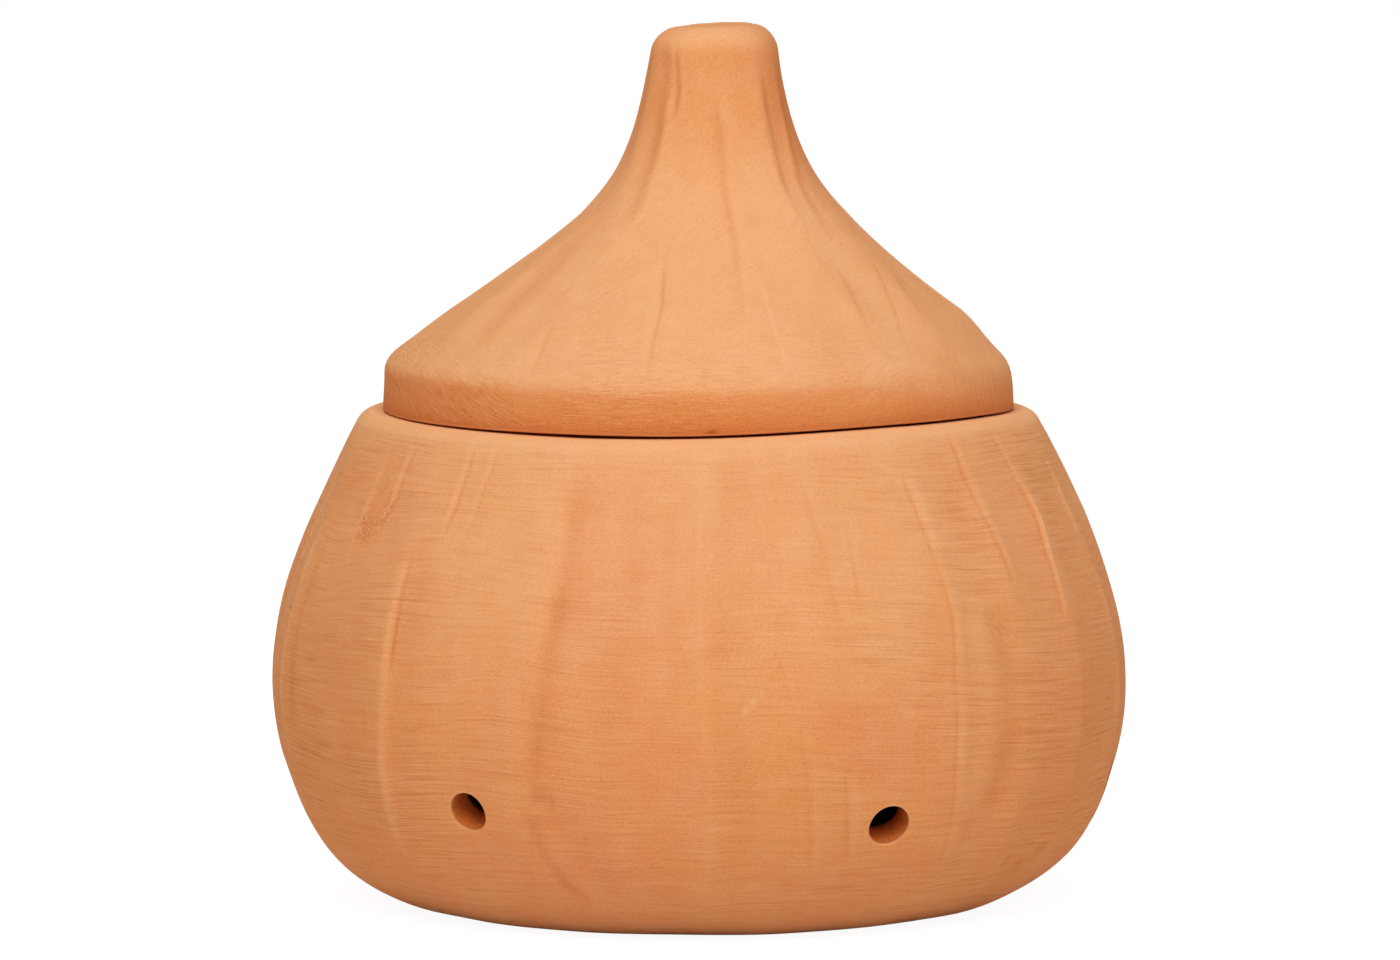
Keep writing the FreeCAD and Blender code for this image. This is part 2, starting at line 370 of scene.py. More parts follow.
def front_pot_marks() -> list[Mark]:
    """The strokes on the front half of the pot, from left to right.

    Returns:
        The marks.
    """
    ridge, crease, step, rough = Cut.RIDGE, Cut.CREASE, Cut.STEP, Cut.ROUGH
    torn_left = ((-60.4, 76), (-60.6, 72), (-61, 68.8), (-61.2, 66), (-62, 62))
    torn_right = ((-54.2, 78.5), (-54.4, 73.2), (-54.6, 69.7), (-55.3, 68), (-56.6, 64.5))
    left_rib = (
        (-46.8, 63.5), (-46.3, 58.6), (-46.3, 50), (-46.1, 41), (-46.3, 32), (-47.5, 21.3), (-48, 11),
    )
    scratch = ((-40.5, 82), (-40.5, 74.7), (-40.6, 69.7), (-41.5, 64))
    scratch_beside = ((-35.3, 82), (-35.9, 73.8), (-36.6, 68), (-37.2, 64))
    lobe = ((-20.8, 76), (-20.4, 59), (-21.5, 50), (-22.4, 40), (-23.2, 31), (-23.5, 24), (-23.2, 14))
    fold = ((-24, 23), (-23.4, 20), (-22.4, 15.2), (-20.4, 10), (-17, 6))
    between = ((-12.4, 76), (-12.3, 60.1), (-13.4, 47.2), (-14, 34.7), (-12.2, 20.2))
    middle_rib = ((0.7, 79.8), (0.2, 64.5), (0.2, 42.1), (1.4, 29.6), (1.5, 9))
    long_rib = ((33.4, 77), (35, 64.9), (36.4, 56), (36.6, 50), (36, 43), (36, 28), (37.8, 10))
    shoulder_rib = ((45.4, 82), (46.1, 74), (47.5, 67.8), (48.6, 63.5), (49.5, 59), (49.8, 54))
    bright_rib = (
        (57.6, 81), (58.2, 77.5), (59.6, 73.7), (61, 70), (61.7, 66.8), (61, 60.9), (60.6, 53.2), (60.9, 48),
    )
    return [
        Mark(ridge, ((-74, 64), (-75, 50), (-75.5, 38), (-74, 24)), 1.1, 0.3, 0.7),
        Mark(crease, ((-70, 60), (-71.5, 45), (-71, 28)), 1.6, 0.2, 0.25),
        Mark(ridge, torn_left, 0.8, 0.3, 0.75, fade=4),
        Mark(ridge, torn_right, 0.65, 0.28, 0.7, fade=4),
        Mark(crease, torn_right, 0.5, 0.14, 0.35, shift=1.2, fade=4),
        Mark(rough, ((-54.6, 71), (-55.8, 66.5), (-57.5, 62)), 1.6, 0.16, 0.1, fade=3),
        Mark(rough, ((-61.8, 68), (-60.2, 65), (-58, 61.5)), 2.2, 0.16, 0.1, fade=2),
        Mark(ridge, left_rib, 1.15, 0.34, 0.6),
        Mark(crease, left_rib[:4], 0.4, 0.24, 0.65, shift=1.3),
        Mark(step, left_rib, 3.4, 0.16, 0.12, shift=1.2),
        Mark(ridge, scratch, 0.8, 0.26, 0.5, fade=5),
        Mark(crease, scratch, 0.4, 0.16, 0.42, shift=1.1, fade=5),
        Mark(ridge, scratch_beside, 0.7, 0.26, 0.5, fade=5),
        Mark(crease, scratch_beside, 0.35, 0.1, 0.22, shift=1.0, fade=5),
        Mark(crease, ((-49.7, 38.5), (-49.7, 32.5)), 0.3, 0.06, 0.2, fade=2),
        Mark(step, lobe, 3.8, 0.4, 0.17),
        Mark(crease, lobe, 1.7, 0.14, 0.24, shift=1.8, fade=14),
        Mark(crease, fold, 1.3, 0.26, 0.34, fade=2.5),
        Mark(ridge, fold, 2.0, 0.14, 0.12, shift=2.8, fade=3),
        Mark(step, between, 3.6, 0.2, 0.12),
        Mark(crease, ((-4.1, 73), (-4.2, 56.6), (-4, 46)), 1.6, 0.08, 0.12),
        Mark(ridge, middle_rib, 0.8, 0.12, 0.26),
        Mark(step, middle_rib, 3.5, 0.16, 0.1, shift=1.5),
        Mark(ridge, ((8.8, 42.6), (7, 40.6), (5.2, 38.2)), 0.5, 0.0, 1.1, fade=1),
        Mark(crease, ((13.1, 36), (14.9, 23.9), (16.1, 10.4)), 0.6, 0.1, 0.22),
        Mark(ridge, ((14.4, 36), (16.2, 23.9), (17.4, 10.4)), 1.0, 0.12, 0.25),
        Mark(crease, ((19.2, 32), (20.3, 23.6), (21.6, 11)), 0.55, 0.14, 0.3),
        Mark(ridge, ((20.4, 32), (21.5, 23.6), (22.8, 11)), 1.0, 0.16, 0.3),
        Mark(crease, ((15.8, 76), (18.4, 61.6), (19.8, 50)), 0.5, 0.08, 0.2),
        Mark(ridge, ((15.8, 76), (18.4, 61.6), (19.8, 50)), 1.2, 0.12, 0.22, shift=1.4),
        Mark(crease, ((22.6, 70), (22.6, 57.9), (23.3, 50)), 0.45, 0.07, 0.18),
        Mark(ridge, ((23.7, 70), (23.7, 57.9), (24.4, 50)), 1.0, 0.1, 0.22),
        Mark(ridge, ((28, 59), (28.4, 46)), 1.1, 0.1, 0.18),
        Mark(crease, long_rib, 0.45, 0.12, 0.36),
        Mark(ridge, long_rib, 1.4, 0.18, 0.4, shift=1.4),
        Mark(step, long_rib, 4.2, 0.16, -0.06, shift=0.5),
        Mark(step, ((43.8, 56), (44, 39.8), (43.6, 32.6), (42, 16)), 2.6, 0.32, 0.24),
        Mark(crease, ((49, 57), (49, 38), (48.5, 20)), 2.4, 0.3, 0.0, fade=10),
        Mark(crease, shoulder_rib, 0.45, 0.16, 0.42),
        Mark(ridge, shoulder_rib, 1.0, 0.22, 0.4, shift=1.2),
        Mark(crease, bright_rib, 0.45, 0.16, 0.4, shift=-1.0),
        Mark(ridge, bright_rib, 0.6, 0.32, 0.85),
        Mark(ridge, bright_rib, 2.0, 0.14, 0.1, shift=1.6),
        Mark(ridge, ((73.6, 76), (75.2, 71), (75.3, 66.2), (75.6, 60)), 0.7, 0.26, 0.5, fade=4),
        Mark(ridge, ((76, 58), (77, 45), (76, 26)), 1.4, 0.25, 0.4),
    ]


def back_marks(seed: int, ribs: tuple[float, ...], low: float, high: float) -> list[Mark]:
    """Strokes like those on the front, along the ribs and on the shoulder of the back.

    Args:
        seed: start of the random draw.
        ribs: azimuths of the ribs to follow.
        low: height where the longest strokes end.
        high: height where they start.

    Returns:
        The marks.
    """
    draw = np.random.default_rng(seed)
    span = high - low
    marks = []
    for rib in ribs:
        drift = draw.uniform(-1.5, 1.5, 4)
        start, end = high - draw.uniform(0, 0.2) * span, low + draw.uniform(0, 0.15) * span
        heights = np.linspace(start, end, 4)
        path = tuple((rib + float(d), float(z)) for d, z in zip(drift, heights))
        kind = draw.choice(3)
        if kind == 0:
            marks.append(Mark(Cut.RIDGE, path, 0.9, 0.28, 0.5))
            marks.append(Mark(Cut.CREASE, path[:3], 0.5, 0.16, 0.35, shift=1.4))
        elif kind == 1:
            marks.append(Mark(Cut.CREASE, path, 0.6, 0.16, 0.35))
            marks.append(Mark(Cut.RIDGE, path, 1.3, 0.22, 0.35, shift=1.5))
        else:
            marks.append(Mark(Cut.STEP, path, 3.4, 0.28, 0.15))
        lean = draw.uniform(-2.5, 2.5)
        beside = rib + draw.uniform(4, 12)
        top = high - draw.uniform(0, 0.1) * span
        length = draw.uniform(0.18, 0.4) * span
        short = ((float(beside), float(top)), (float(beside + lean), float(top - length)))
        marks.append(Mark(Cut.RIDGE, short, 0.8, 0.2, 0.4, fade=5))
        marks.append(Mark(Cut.CREASE, short, 0.45, 0.1, 0.25, shift=1.3, fade=5))
    return marks


# ------------------------------------------------------------------ mesh building


@dataclass
class Patchwork:
    """Vertices, their values and the faces of one mesh while it is being made."""

    places: list[np.ndarray] = field(default_factory=list)
    values: dict[str, list[np.ndarray]] = field(default_factory=dict)
    faces: list[np.ndarray] = field(default_factory=list)
    count: int = 0

    def add(self, places: np.ndarray, **values: np.ndarray) -> np.ndarray:
        """Add vertices with their values.

        Args:
            places: one row of x, y and z for each vertex, in millimetres.
            values: one number for each vertex, by attribute name.

        Returns:
            The numbers of the new vertices.
        """
        self.places.append(places.reshape(-1, 3))
        size = len(self.places[-1])
        for name, value in values.items():
            self.values.setdefault(name, []).append(np.broadcast_to(value, (size,)).astype(float))
        numbers = np.arange(self.count, self.count + size)
        self.count += size
        return numbers

    def band(self, first: np.ndarray, second: np.ndarray) -> None:
        """Join two closed rows of vertices of the same length with four-sided faces."""
        near, far = np.roll(first, -1), np.roll(second, -1)
        self.faces.append(np.stack([first, near, far, second], axis=1))

    def fan(self, centre: int, ring: np.ndarray) -> None:
        """Close a ring of vertices with three-sided faces round a centre."""
        ahead = np.roll(ring, -1)
        self.faces.append(np.stack([np.full_like(ring, centre), ring, ahead], axis=1))

    def mesh(self, name: str) -> bpy.types.Mesh:
        """Make the mesh, with its values as attributes and smooth faces.

        Args:
            name: name of the mesh.

        Returns:
            The mesh.
        """
        mesh = bpy.data.meshes.new(name)
        places = np.concatenate(self.places) * MM
        faces = [face for block in self.faces for face in block.tolist()]
        mesh.from_pydata(places.tolist(), [], faces)
        for key, blocks in self.values.items():
            attribute = mesh.attributes.new(key, "FLOAT", "POINT")
            attribute.data.foreach_set("value", np.concatenate(blocks).astype(np.float32))
        mesh.polygons.foreach_set("use_smooth", np.ones(len(mesh.polygons), bool))
        mesh.update()
        return mesh


@dataclass
class TurnedPiece:
    """A clay piece turned about the upright axis, with marks and waves on its outside.

    Its mesh carries values for the finish: tone (above 0 is paler, below is darker; it holds
    stains and also painted highlights and painted shade), grit (torn clay), bare (1 is undusted
    clay, and it also carries painted shade on the flanks and in creases; 2 is freshly cut clay,
    whose colour partly stands for the shade in the vents), arc and brush (the way round and
    across the brush lines), lines (how plainly these show), and falling, rising and upright (how
    much they slant each way).
    """

    name: str
    body: str
    finish: "Terracotta"
    front_step: float = 0.37
    back_step: float = 1.3
    front_end: float = 95.0
    ribs: tuple[float, ...] = ()
    outline: Outline = field(init=False)
    marks: list[Mark] = field(init=False)
    dents: list[Dent] = field(init=False)
    waves: Waviness = field(init=False)
    brushing: Waviness = field(init=False)

    def columns(self) -> np.ndarray:
        """Azimuths of the columns, closer together on the front.

        Returns:
            The azimuths, once round.
        """
        front = np.arange(-self.front_end, self.front_end, self.front_step)
        behind = np.arange(self.front_end, 2 * HALF_TURN - self.front_end, self.back_step)
        return np.r_[front, behind]

    def place(self, spots: Spots) -> np.ndarray:
        """Points of the surface at the spots, as rows of x, y and z."""
        raise NotImplementedError

    def values(self, spots: Spots) -> dict[str, np.ndarray]:
        """Values for the finish at the spots, by attribute name."""
        raise NotImplementedError

    def back_ribs(self) -> tuple[float, ...]:
        """The ribs that lie on the back."""
        return tuple(rib for rib in self.ribs if abs(wrapped(rib)) > BACK_START)

    def strokes(self, spots: Spots) -> np.ndarray:
        """How far the marks and dents move the surface outwards.

        Args:
            spots: the spots.

        Returns:
            The move outwards at each spot.
        """
        moves = [mark.relief(spots) for mark in self.marks]
        moves += [dent.depth * dent.shape(spots) for dent in self.dents]
        return sum(moves)

    def mark_values(self, spots: Spots) -> dict[str, np.ndarray]:
        """What the marks and dents give the finish, and the arc from the front.

        Args:
            spots: the spots.

        Returns:
            The values, by attribute name.
        """
        found = {name: np.zeros(len(spots.run)) for name in ("tone", "grit", "bare")}
        for mark in self.marks:
            tone = mark.colour(spots)
            torn = mark.grit(spots)
            found["tone"] += tone
            # dark strokes also take the bare colour, as painted shade in the creases
            found["bare"] += 0.8 * np.maximum(-tone, 0) + (0.3 + mark.tone) * torn
            found["grit"] += torn
        for dent in self.dents:
            shape = dent.shape(spots)
            found["tone"] += dent.tone * shape
            found["bare"] += dent.bare * shape
        found["grit"] = np.clip(found["grit"], 0, 1)
        found["arc"] = spots.arc_from(0.0)
        return found

    def add_points(self, patchwork: Patchwork, azimuth: np.ndarray, run: np.ndarray) -> np.ndarray:
        """Add points of the surface, with their values for the finish.

        Args:
            patchwork: the mesh in the making.
            azimuth: azimuth of each point.
            run: run of each point.

        Returns:
            The numbers of the new vertices.
        """
        azimuth, run = np.broadcast_arrays(azimuth, run)
        spots = self.outline.spots(azimuth.ravel().astype(float), run.ravel().astype(float))
        return patchwork.add(self.place(spots), **self.values(spots))

    def dress(self, mesh: bpy.types.Mesh) -> bpy.types.Object:
        """Put the mesh in the scene in its finish, in place of its plain solid.

        Args:
            mesh: the piece's mesh.

        Returns:
            The piece.
        """
        mesh.materials.append(self.finish.material())
        piece = bpy.data.objects.new(mesh.name, mesh)
        bpy.context.scene.collection.objects.link(piece)
        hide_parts(self.name)
        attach(piece, self.body)
        LOG.info("%s: %d faces", piece.name, len(mesh.polygons))
        return piece


def around(
    radius: np.ndarray, azimuth: np.ndarray, height: np.ndarray, centre: float | np.ndarray = 0.0
) -> np.ndarray:
    """Rows of x, y and z at a radius and azimuth round an upright axis."""
    turn = np.radians(azimuth)
    return np.stack([centre + radius * np.sin(turn), -radius * np.cos(turn), height], axis=-1)


def seam_rise(azimuth: np.ndarray) -> np.ndarray:
    """How far the pot's rim, and the lid's lower edge on it, stand above their level."""
    turn = wrapped(azimuth)
    return smooth(turn, -10, 40) * (1 - smooth(turn, 55, 100))


def dish(azimuth: np.ndarray, ribs: tuple[float, ...]) -> np.ndarray:
    """Depth of the hollows between ribs: almost 0 on each rib and 1 midway to the next.

    Args:
        azimuth: azimuth of each point.
        ribs: azimuths of the ribs, in order.

    Returns:
        The share of the full depth at each spot.
    """
    edges = np.array(ribs + (ribs[0] + 2 * HALF_TURN,))
    turn = (np.asarray(azimuth, float) - ribs[0]) % (2 * HALF_TURN) + ribs[0]
    place = np.clip(np.searchsorted(edges, turn, side="right") - 1, 0, len(ribs) - 1)
    part = (turn - edges[place]) / (edges[place + 1] - edges[place])
    hollow = 4 * part * (1 - part)
    return np.sqrt(hollow * hollow + 0.06) - 0.03


# ----------------------------------------------------------------------- the pot


@dataclass(frozen=True)
class Vent:
    """A hole drilled by hand: where its mouth is, and how far it strays from square to the wall."""

    azimuth: float
    height: float
    turned: float
    tilted: float
    bore: float = 7.1  # diameter


@dataclass
class Pot(TurnedPiece):
    """The pot: its foot, ribbed outside, rim, hollow inside and vents."""

    foot_radius: float = 41.0
    belly_radius: float = 70.1
    belly_height: float = 36.0
    rim_height: float = 81.0
    rim_width: float = 8.03
    flank_bend: float = 22.9
    rim_round: float = 1.6
    rib_depth: float = 0.6
    wave_depth: float = 0.16
    turning_depth: float = 0.12
    wall: float = 6.0
    floor: float = 7.0
    floor_corner: float = 18.0
    wall_flare: float = 5.0
    mouth_radius: float = 47.0
    mouth_round: float = 1.5
    vents: tuple[Vent, ...] = (
        Vent(-33.2, 21.2, 0.0, 5.0, 6.6),
        Vent(27.0, 19.6, -10.0, 0.0, 6.9),
        Vent(87.0, 21.0, 3.0, 2.0),
        Vent(147.0, 20.6, -4.0, 1.0),
        Vent(-153.0, 21.2, 2.0, -1.0),
        Vent(-93.0, 21.0, -3.0, 3.0),
    )
    vent_height: float = 21.0
    vent_rise: float = 2.7
    ribs: tuple[float, ...] = (
        -158, -137, -114, -91, -74, -47, -22, -12, 1, 16, 37, 49, 62, 77, 91, 113, 134, 160, 181,
    )
    seat_gaps: tuple[tuple[float, float], ...] = (
        (-180, 0.2), (-110, 0.15), (-72, 0.18), (-50, 0.32), (-32, 0.45), (-20, 0.55), (-6, 0.42),
        (12, 0.42), (30, 0.42), (60, 0.4), (85, 0.25), (130, 0.25), (180, 0.2),
    )
    brush_bends: tuple[Dent, ...] = (
        Dent(-39, 64, 12, 9, -2.8),
        Dent(-66, 60, 8, 8, 1.4),
        Dent(-27, 45, 11, 12, -2.6),
    )
    hatched: tuple[Dent, ...] = (Dent(45.5, 49.5, 3.5, 4), Dent(-58, 71, 4, 4))
    faint_lines: Dent = Dent(0, 66, 30, 14)
    outer_lip: tuple[tuple[float, float], ...] = ((0.6, 0.0), (0.2, 0.02), (0.06, 0.08), (0.0, 0.25))
    inner_lip: tuple[tuple[float, float], ...] = ((0.5, 0.0), (0.05, 0.2))
    foot_rows: tuple[float, ...] = (6, 16, 26, 33, 37, 39.5)
    row_step: float = 1.3
    vent_reach: float = 7.9

    def __post_init__(self) -> None:
        """Work out the outline, the strokes and the waves."""
        outside = self.outside_points()
        inside = self.inside_points()
        self.outline = Outline([(0, 0)] + outside + inside + [(0, self.floor)])
        corner_runs = self.outline.corner_runs
        self.foot_run = float(self.foot_radius)
        self.rim_run = float(corner_runs[len(outside)])
        self.inside_run = float(corner_runs[len(outside) + 1])
        self.floor_run = self.outline.runs[-1] - inside[-1][0]
        self.marks = front_pot_marks() + back_marks(5, self.back_ribs(), 12, 78)
        self.dents = [
            # a dimple low on the left, paler in the middle as painted light, with painted shade along its
            # edge above it and beside it
            Dent(-21.6, 23.4, 1.4, 1.2, -0.34, 0.3),
            Dent(-21.6, 25.3, 1.5, 0.8, 0.1, -0.55),
            Dent(-20.0, 24.0, 0.5, 1.1, 0.0, -0.4),
            # a nick under the rim, and bare and rubbed places on the right shoulder
            Dent(43.7, 79.0, 2.0, 1.4, -0.15, 0.3, 0.2),
            Dent(42.0, 68.5, 3.0, 5.0, bare=0.3),
            Dent(53.3, 68.5, 3.0, 6.0, tone=0.25),
            Dent(67.0, 66.3, 3.0, 4.0, bare=0.25),
            # a small hollow in the hatched clay, with painted shade in it, and a bare spot near the middle
            Dent(43.5, 51.4, 1.3, 2.4, -0.08, -0.35),
            Dent(1.8, 48.4, 2.0, 1.0, bare=0.4),
            # rubbed and bare places on the left flank, a broad darker place as painted shade, and a shallow
            # hollow
            Dent(-57.7, 32.5, 3.0, 7.0, tone=0.3),
            Dent(-70.0, 70.5, 6.0, 4.5, bare=0.35),
            Dent(-58.0, 68.5, 3.5, 6.5, bare=0.34),
            Dent(-52.0, 46.0, 14.0, 18.0, tone=-0.28),
            Dent(-52.0, 66.0, 5.0, 4.0, -0.3, 0.0),
            # stains low on the right
            Dent(52.5, 11.2, 0.8, 0.9, tone=-0.5, bare=0.4),
            Dent(56.8, 10.2, 1.8, 0.8, tone=-0.3, bare=0.3),
            Dent(60.3, 12.8, 1.1, 0.8, tone=-0.45, bare=0.4),
            # the lower bowl, fuller on both sides
            Dent(85.0, 12.0, 34.0, 8.0, 1.2),
            Dent(-85.0, 9.0, 30.0, 7.0, 0.9),
        ]
        self.waves = Waviness(seed=11)
        self.brushing = Waviness(seed=12, most_turns=9, shortest=30)

    def outer_radius(self, height: np.ndarray) -> np.ndarray:
        """Outer radius over the ribs: a quarter ellipse, then the soft flank.

        Args:
            height: the heights.

        Returns:
            The radius at each height.
        """
        middle, belly, bend = self.belly_height, self.belly_radius, self.flank_bend
        below = np.sqrt(1 - (1 - np.minimum(height, middle) / middle) ** 2)
        bowl = self.foot_radius + (belly - self.foot_radius) * below
        narrowing = belly - self.mouth_radius - self.rim_width
        slope = math.sqrt((narrowing + bend) ** 2 - bend**2) / (self.rim_height - middle)
        run = slope * (np.maximum(height, middle) - middle)
        flank = belly + bend + soft_min(run, -run, bend)
        inset = edge_inset(height, self.rim_height, self.rim_round)
        return np.where(height < middle, bowl, flank) - inset

    def outside_points(self) -> list[tuple[float, float]]:
        """The outside of the profile, from the foot up to the inner edge of the rim's top.

        Returns:
            The points, as radius and height.
        """
        turns = np.linspace(0, math.pi / 2, 60)
        rounding = np.linspace(0, math.pi / 2, 24)
        shoulder = self.rim_height - self.rim_round
        heights = np.r_[
            self.belly_height * (1 - np.cos(turns)),
            np.linspace(self.belly_height, shoulder, 90)[1:],
            (shoulder + self.rim_round * np.sin(rounding))[1:],
        ]
        return list(zip(self.outer_radius(heights).tolist(), heights.tolist()))

    def inside_points(self) -> list[tuple[float, float]]:
        """The inside of the profile, from the lip down to the edge of the flat floor.

        Returns:
            The points, as radius and height.
        """
        widest, middle = self.belly_radius - self.wall, self.belly_height
        throat = self.rim_height - self.mouth_round
        lower = middle - self.floor + self.wall_flare
        drop = middle - self.floor - self.floor_corner
        corner_out = math.sqrt((lower - self.floor_corner) ** 2 - drop**2)
        meeting = math.degrees(math.atan2(-drop, corner_out))
        inset, climb = widest - self.mouth_radius, throat - middle
        upper = (inset**2 + climb**2) / (2 * inset)
        opening = math.degrees(math.asin(climb / upper))
        lip_centre = (self.mouth_radius + self.mouth_round, throat)
        corner_centre = (widest - lower + corner_out, middle - drop)
        return (
            arc_points(lip_centre, 90, 180, self.mouth_round, 12)
            + arc_points((widest - upper, middle), opening, 0, upper, 60)
            + arc_points((widest - lower, middle), 0, meeting, lower, 20)
            + arc_points(corner_centre, meeting, -90, self.floor_corner, 40)
        )

    def outside_share(self, run: np.ndarray) -> np.ndarray:
        """1 on the outside of the wall and 0 on the foot, the rim's top and the inside."""
        below_rim = 1 - smooth(run, self.rim_run - 4, self.rim_run - 1.6)
        return smooth(run, self.foot_run, self.foot_run + 6) * below_rim

    def inside_share(self, run: np.ndarray) -> np.ndarray:
        """1 on the inner wall and the floor."""
        return smooth(run, self.inside_run + 4, self.inside_run + 12)

    def seat_drop(self, azimuth: np.ndarray) -> np.ndarray:
        """How far the rim sinks below the lid's band, which leaves an uneven dark gap."""
        places, drops = zip(*self.seat_gaps)
        return np.interp(wrapped(azimuth), places, drops)

    def relief(self, spots: Spots) -> np.ndarray:
        """How far the surface stands out from the turned outline.

        Args:
            spots: the spots.

        Returns:
            The move outwards at each spot.
        """
        shown = share(spots.height, 0, self.belly_height / 3)
        shown = shown * share(self.rim_height - spots.height, 3.0, 12.0)
        hollows = -self.rib_depth * dish(spots.azimuth, self.ribs) * shown
        strokes = self.strokes(spots) + self.wave_depth * self.waves.at(spots)
        rings = self.turning_depth * np.sin(spots.run * 1.35 + 0.8 * np.sin(np.radians(spots.azimuth)))
        return (hollows + strokes) * self.outside_share(spots.run) + rings * self.inside_share(spots.run)

    def place(self, spots: Spots) -> np.ndarray:
        """Points of the surface.

        Args:
            spots: the spots.

        Returns:
            The points, as rows of x, y and z.
        """
        radius, height, rim = spots.radius, spots.height, self.rim_height
        out, up = self.outline.normal(spots.run)
        move = self.relief(spots)
        seat = smooth(radius, 47.6, 48.4) * smooth(height, rim - 4, rim - 1)
        lift = smooth(radius, 46.5, 50.5) * smooth(height, rim - 12, rim - 2)
        sunk = self.seat_drop(spots.azimuth) * seat
        height = height + up * move - sunk + lift * seam_rise(spots.azimuth)
        return around(radius + out * move, spots.azimuth, height)

    def values(self, spots: Spots) -> dict[str, np.ndarray]:
        """Values for the finish at each spot.

        Args:
            spots: the spots.

        Returns:
            The values, by attribute name.
        """
        outside, turn = self.outside_share(spots.run), wrapped(spots.azimuth)
        found = self.mark_values(spots)
        past_rim = spots.run - self.rim_run
        # painted highlight: paler bands on the rim's rounding and along the outer edge of its top
        painted_rim_highlight = 0.35 * np.exp(-(((past_rim + 2.6) / 1.2) ** 2))
        painted_rim_highlight += 1.3 * np.exp(-(((past_rim - 0.2) / 0.9) ** 2))
        # painted shade on the rim's top where the lid's band sits over it
        painted_seam_shade = (1 - smooth(spots.radius, 51.0, 51.6)) * (spots.height > self.rim_height - 1)
        found["tone"] = found["tone"] * outside + painted_rim_highlight - 0.6 * painted_seam_shade * (1 - outside)
        found["grit"] *= outside
        # from 28 degrees round from the front, fully from 60, the clay takes more of the bare colour, as
        # painted shade on the flanks
        found["bare"] = np.clip(found["bare"] + 0.28 * smooth(abs(turn), 28, 60), 0, 1) * outside
        found["brush"] = spots.run + outside * self.brush_warp(spots)
        hatched = sum(patch.shape(spots) for patch in self.hatched)
        found["falling"] = np.clip(hatched * outside, 0, 1)
        found["rising"] = found["upright"] = np.zeros(len(turn))
        flanks = 0.6 * smooth(turn, 10, 45) + 0.4 * smooth(-turn, 25, 50)
        low = 0.25 * (1 - smooth(spots.height, 20, 40))
        faint = 0.4 * self.faint_lines.shape(spots)
        found["lines"] = (0.85 + flanks + low - faint) * outside
        return found

    def brush_warp(self, spots: Spots) -> np.ndarray:
        """How far the brush lines stray from level: in waves, round the bends and down the right.

        Args:
            spots: the spots.

        Returns:
            The stray at each spot, in millimetres.
        """
        warp = 0.7 * self.brushing.at(spots)
        for bend in self.brush_bends:
            warp += bend.depth * bend.shape(spots)
        turn = wrapped(spots.azimuth)
        sinking = np.maximum(np.sin(np.radians(turn)) - 0.2, 0)
        sinking *= np.exp(-(((spots.height - 46) / 22) ** 2))
        return warp + 8.5 * sinking * (1 - smooth(turn, 80, 130))

    def rows(self) -> np.ndarray:
        """Runs of the rows, close together on the outside and round the vents inside.

        Returns:
            The runs.
        """
        rim, inside, vent = self.rim_run, self.inside_run, self.vent_run(self.vent_height, False)
        outside = int((rim - 4.5 - self.foot_run) / self.row_step)
        return np.r_[
            self.foot_rows,
            np.linspace(self.foot_run, rim - 4.5, outside),
            np.linspace(rim - 4.5, rim - 1.0, 7)[1:],
            np.linspace(rim - 1.0, rim + 0.5, 9)[1:],
            np.linspace(rim + 0.5, inside, 6)[1:],
            np.linspace(inside, inside + 2.4, 5)[1:],
            np.arange(inside + 4.4, vent - 10.5, 4.0),
            np.arange(vent - 9.5, vent + 9.6, self.row_step),
            np.linspace(vent + 11.5, self.floor_run, 6),
            np.linspace(self.floor_run, self.outline.runs[-1], 7)[1:-1],
        ]

    def mesh(self) -> bpy.types.Mesh:
        """The pot's mesh: turned rows, with a patch and a bore for each vent.

        Returns:
            The mesh.
        """
        patchwork = Patchwork()
        columns, rows = self.columns(), self.rows()
        grid = self.add_points(patchwork, columns[None, :], rows[:, None])
        grid = grid.reshape(len(rows), len(columns))
        bottom, top = self.add_points(patchwork, np.zeros(2), np.array([0.0, self.outline.runs[-1]]))
        kept = np.ones((len(rows) - 1, len(columns)), bool)
        for vent in self.vents:
            self.bore_vent(patchwork, grid, kept, columns, rows, vent)
        here, ahead = grid, np.roll(grid, -1, axis=1)
        quads = np.stack([here[:-1], ahead[:-1], ahead[1:], here[1:]], axis=-1)
        patchwork.faces.append(quads[kept])
        patchwork.fan(bottom, grid[0][::-1])
        patchwork.fan(top, grid[-1])
        return patchwork.mesh("pot_clay")

    def vent_run(self, height: float, outside: bool) -> float:
        """Run where a vent of a given height passes through the outside or the inside.

        Args:
            height: height of the vent's mouth.
            outside: whether the outside or the inside of the wall is meant.

        Returns:
            The run.
        """
        if outside:
            return self.outline.run_at(height, self.foot_run, self.rim_run)
        return self.outline.run_at(height + self.vent_rise, self.inside_run, self.floor_run)

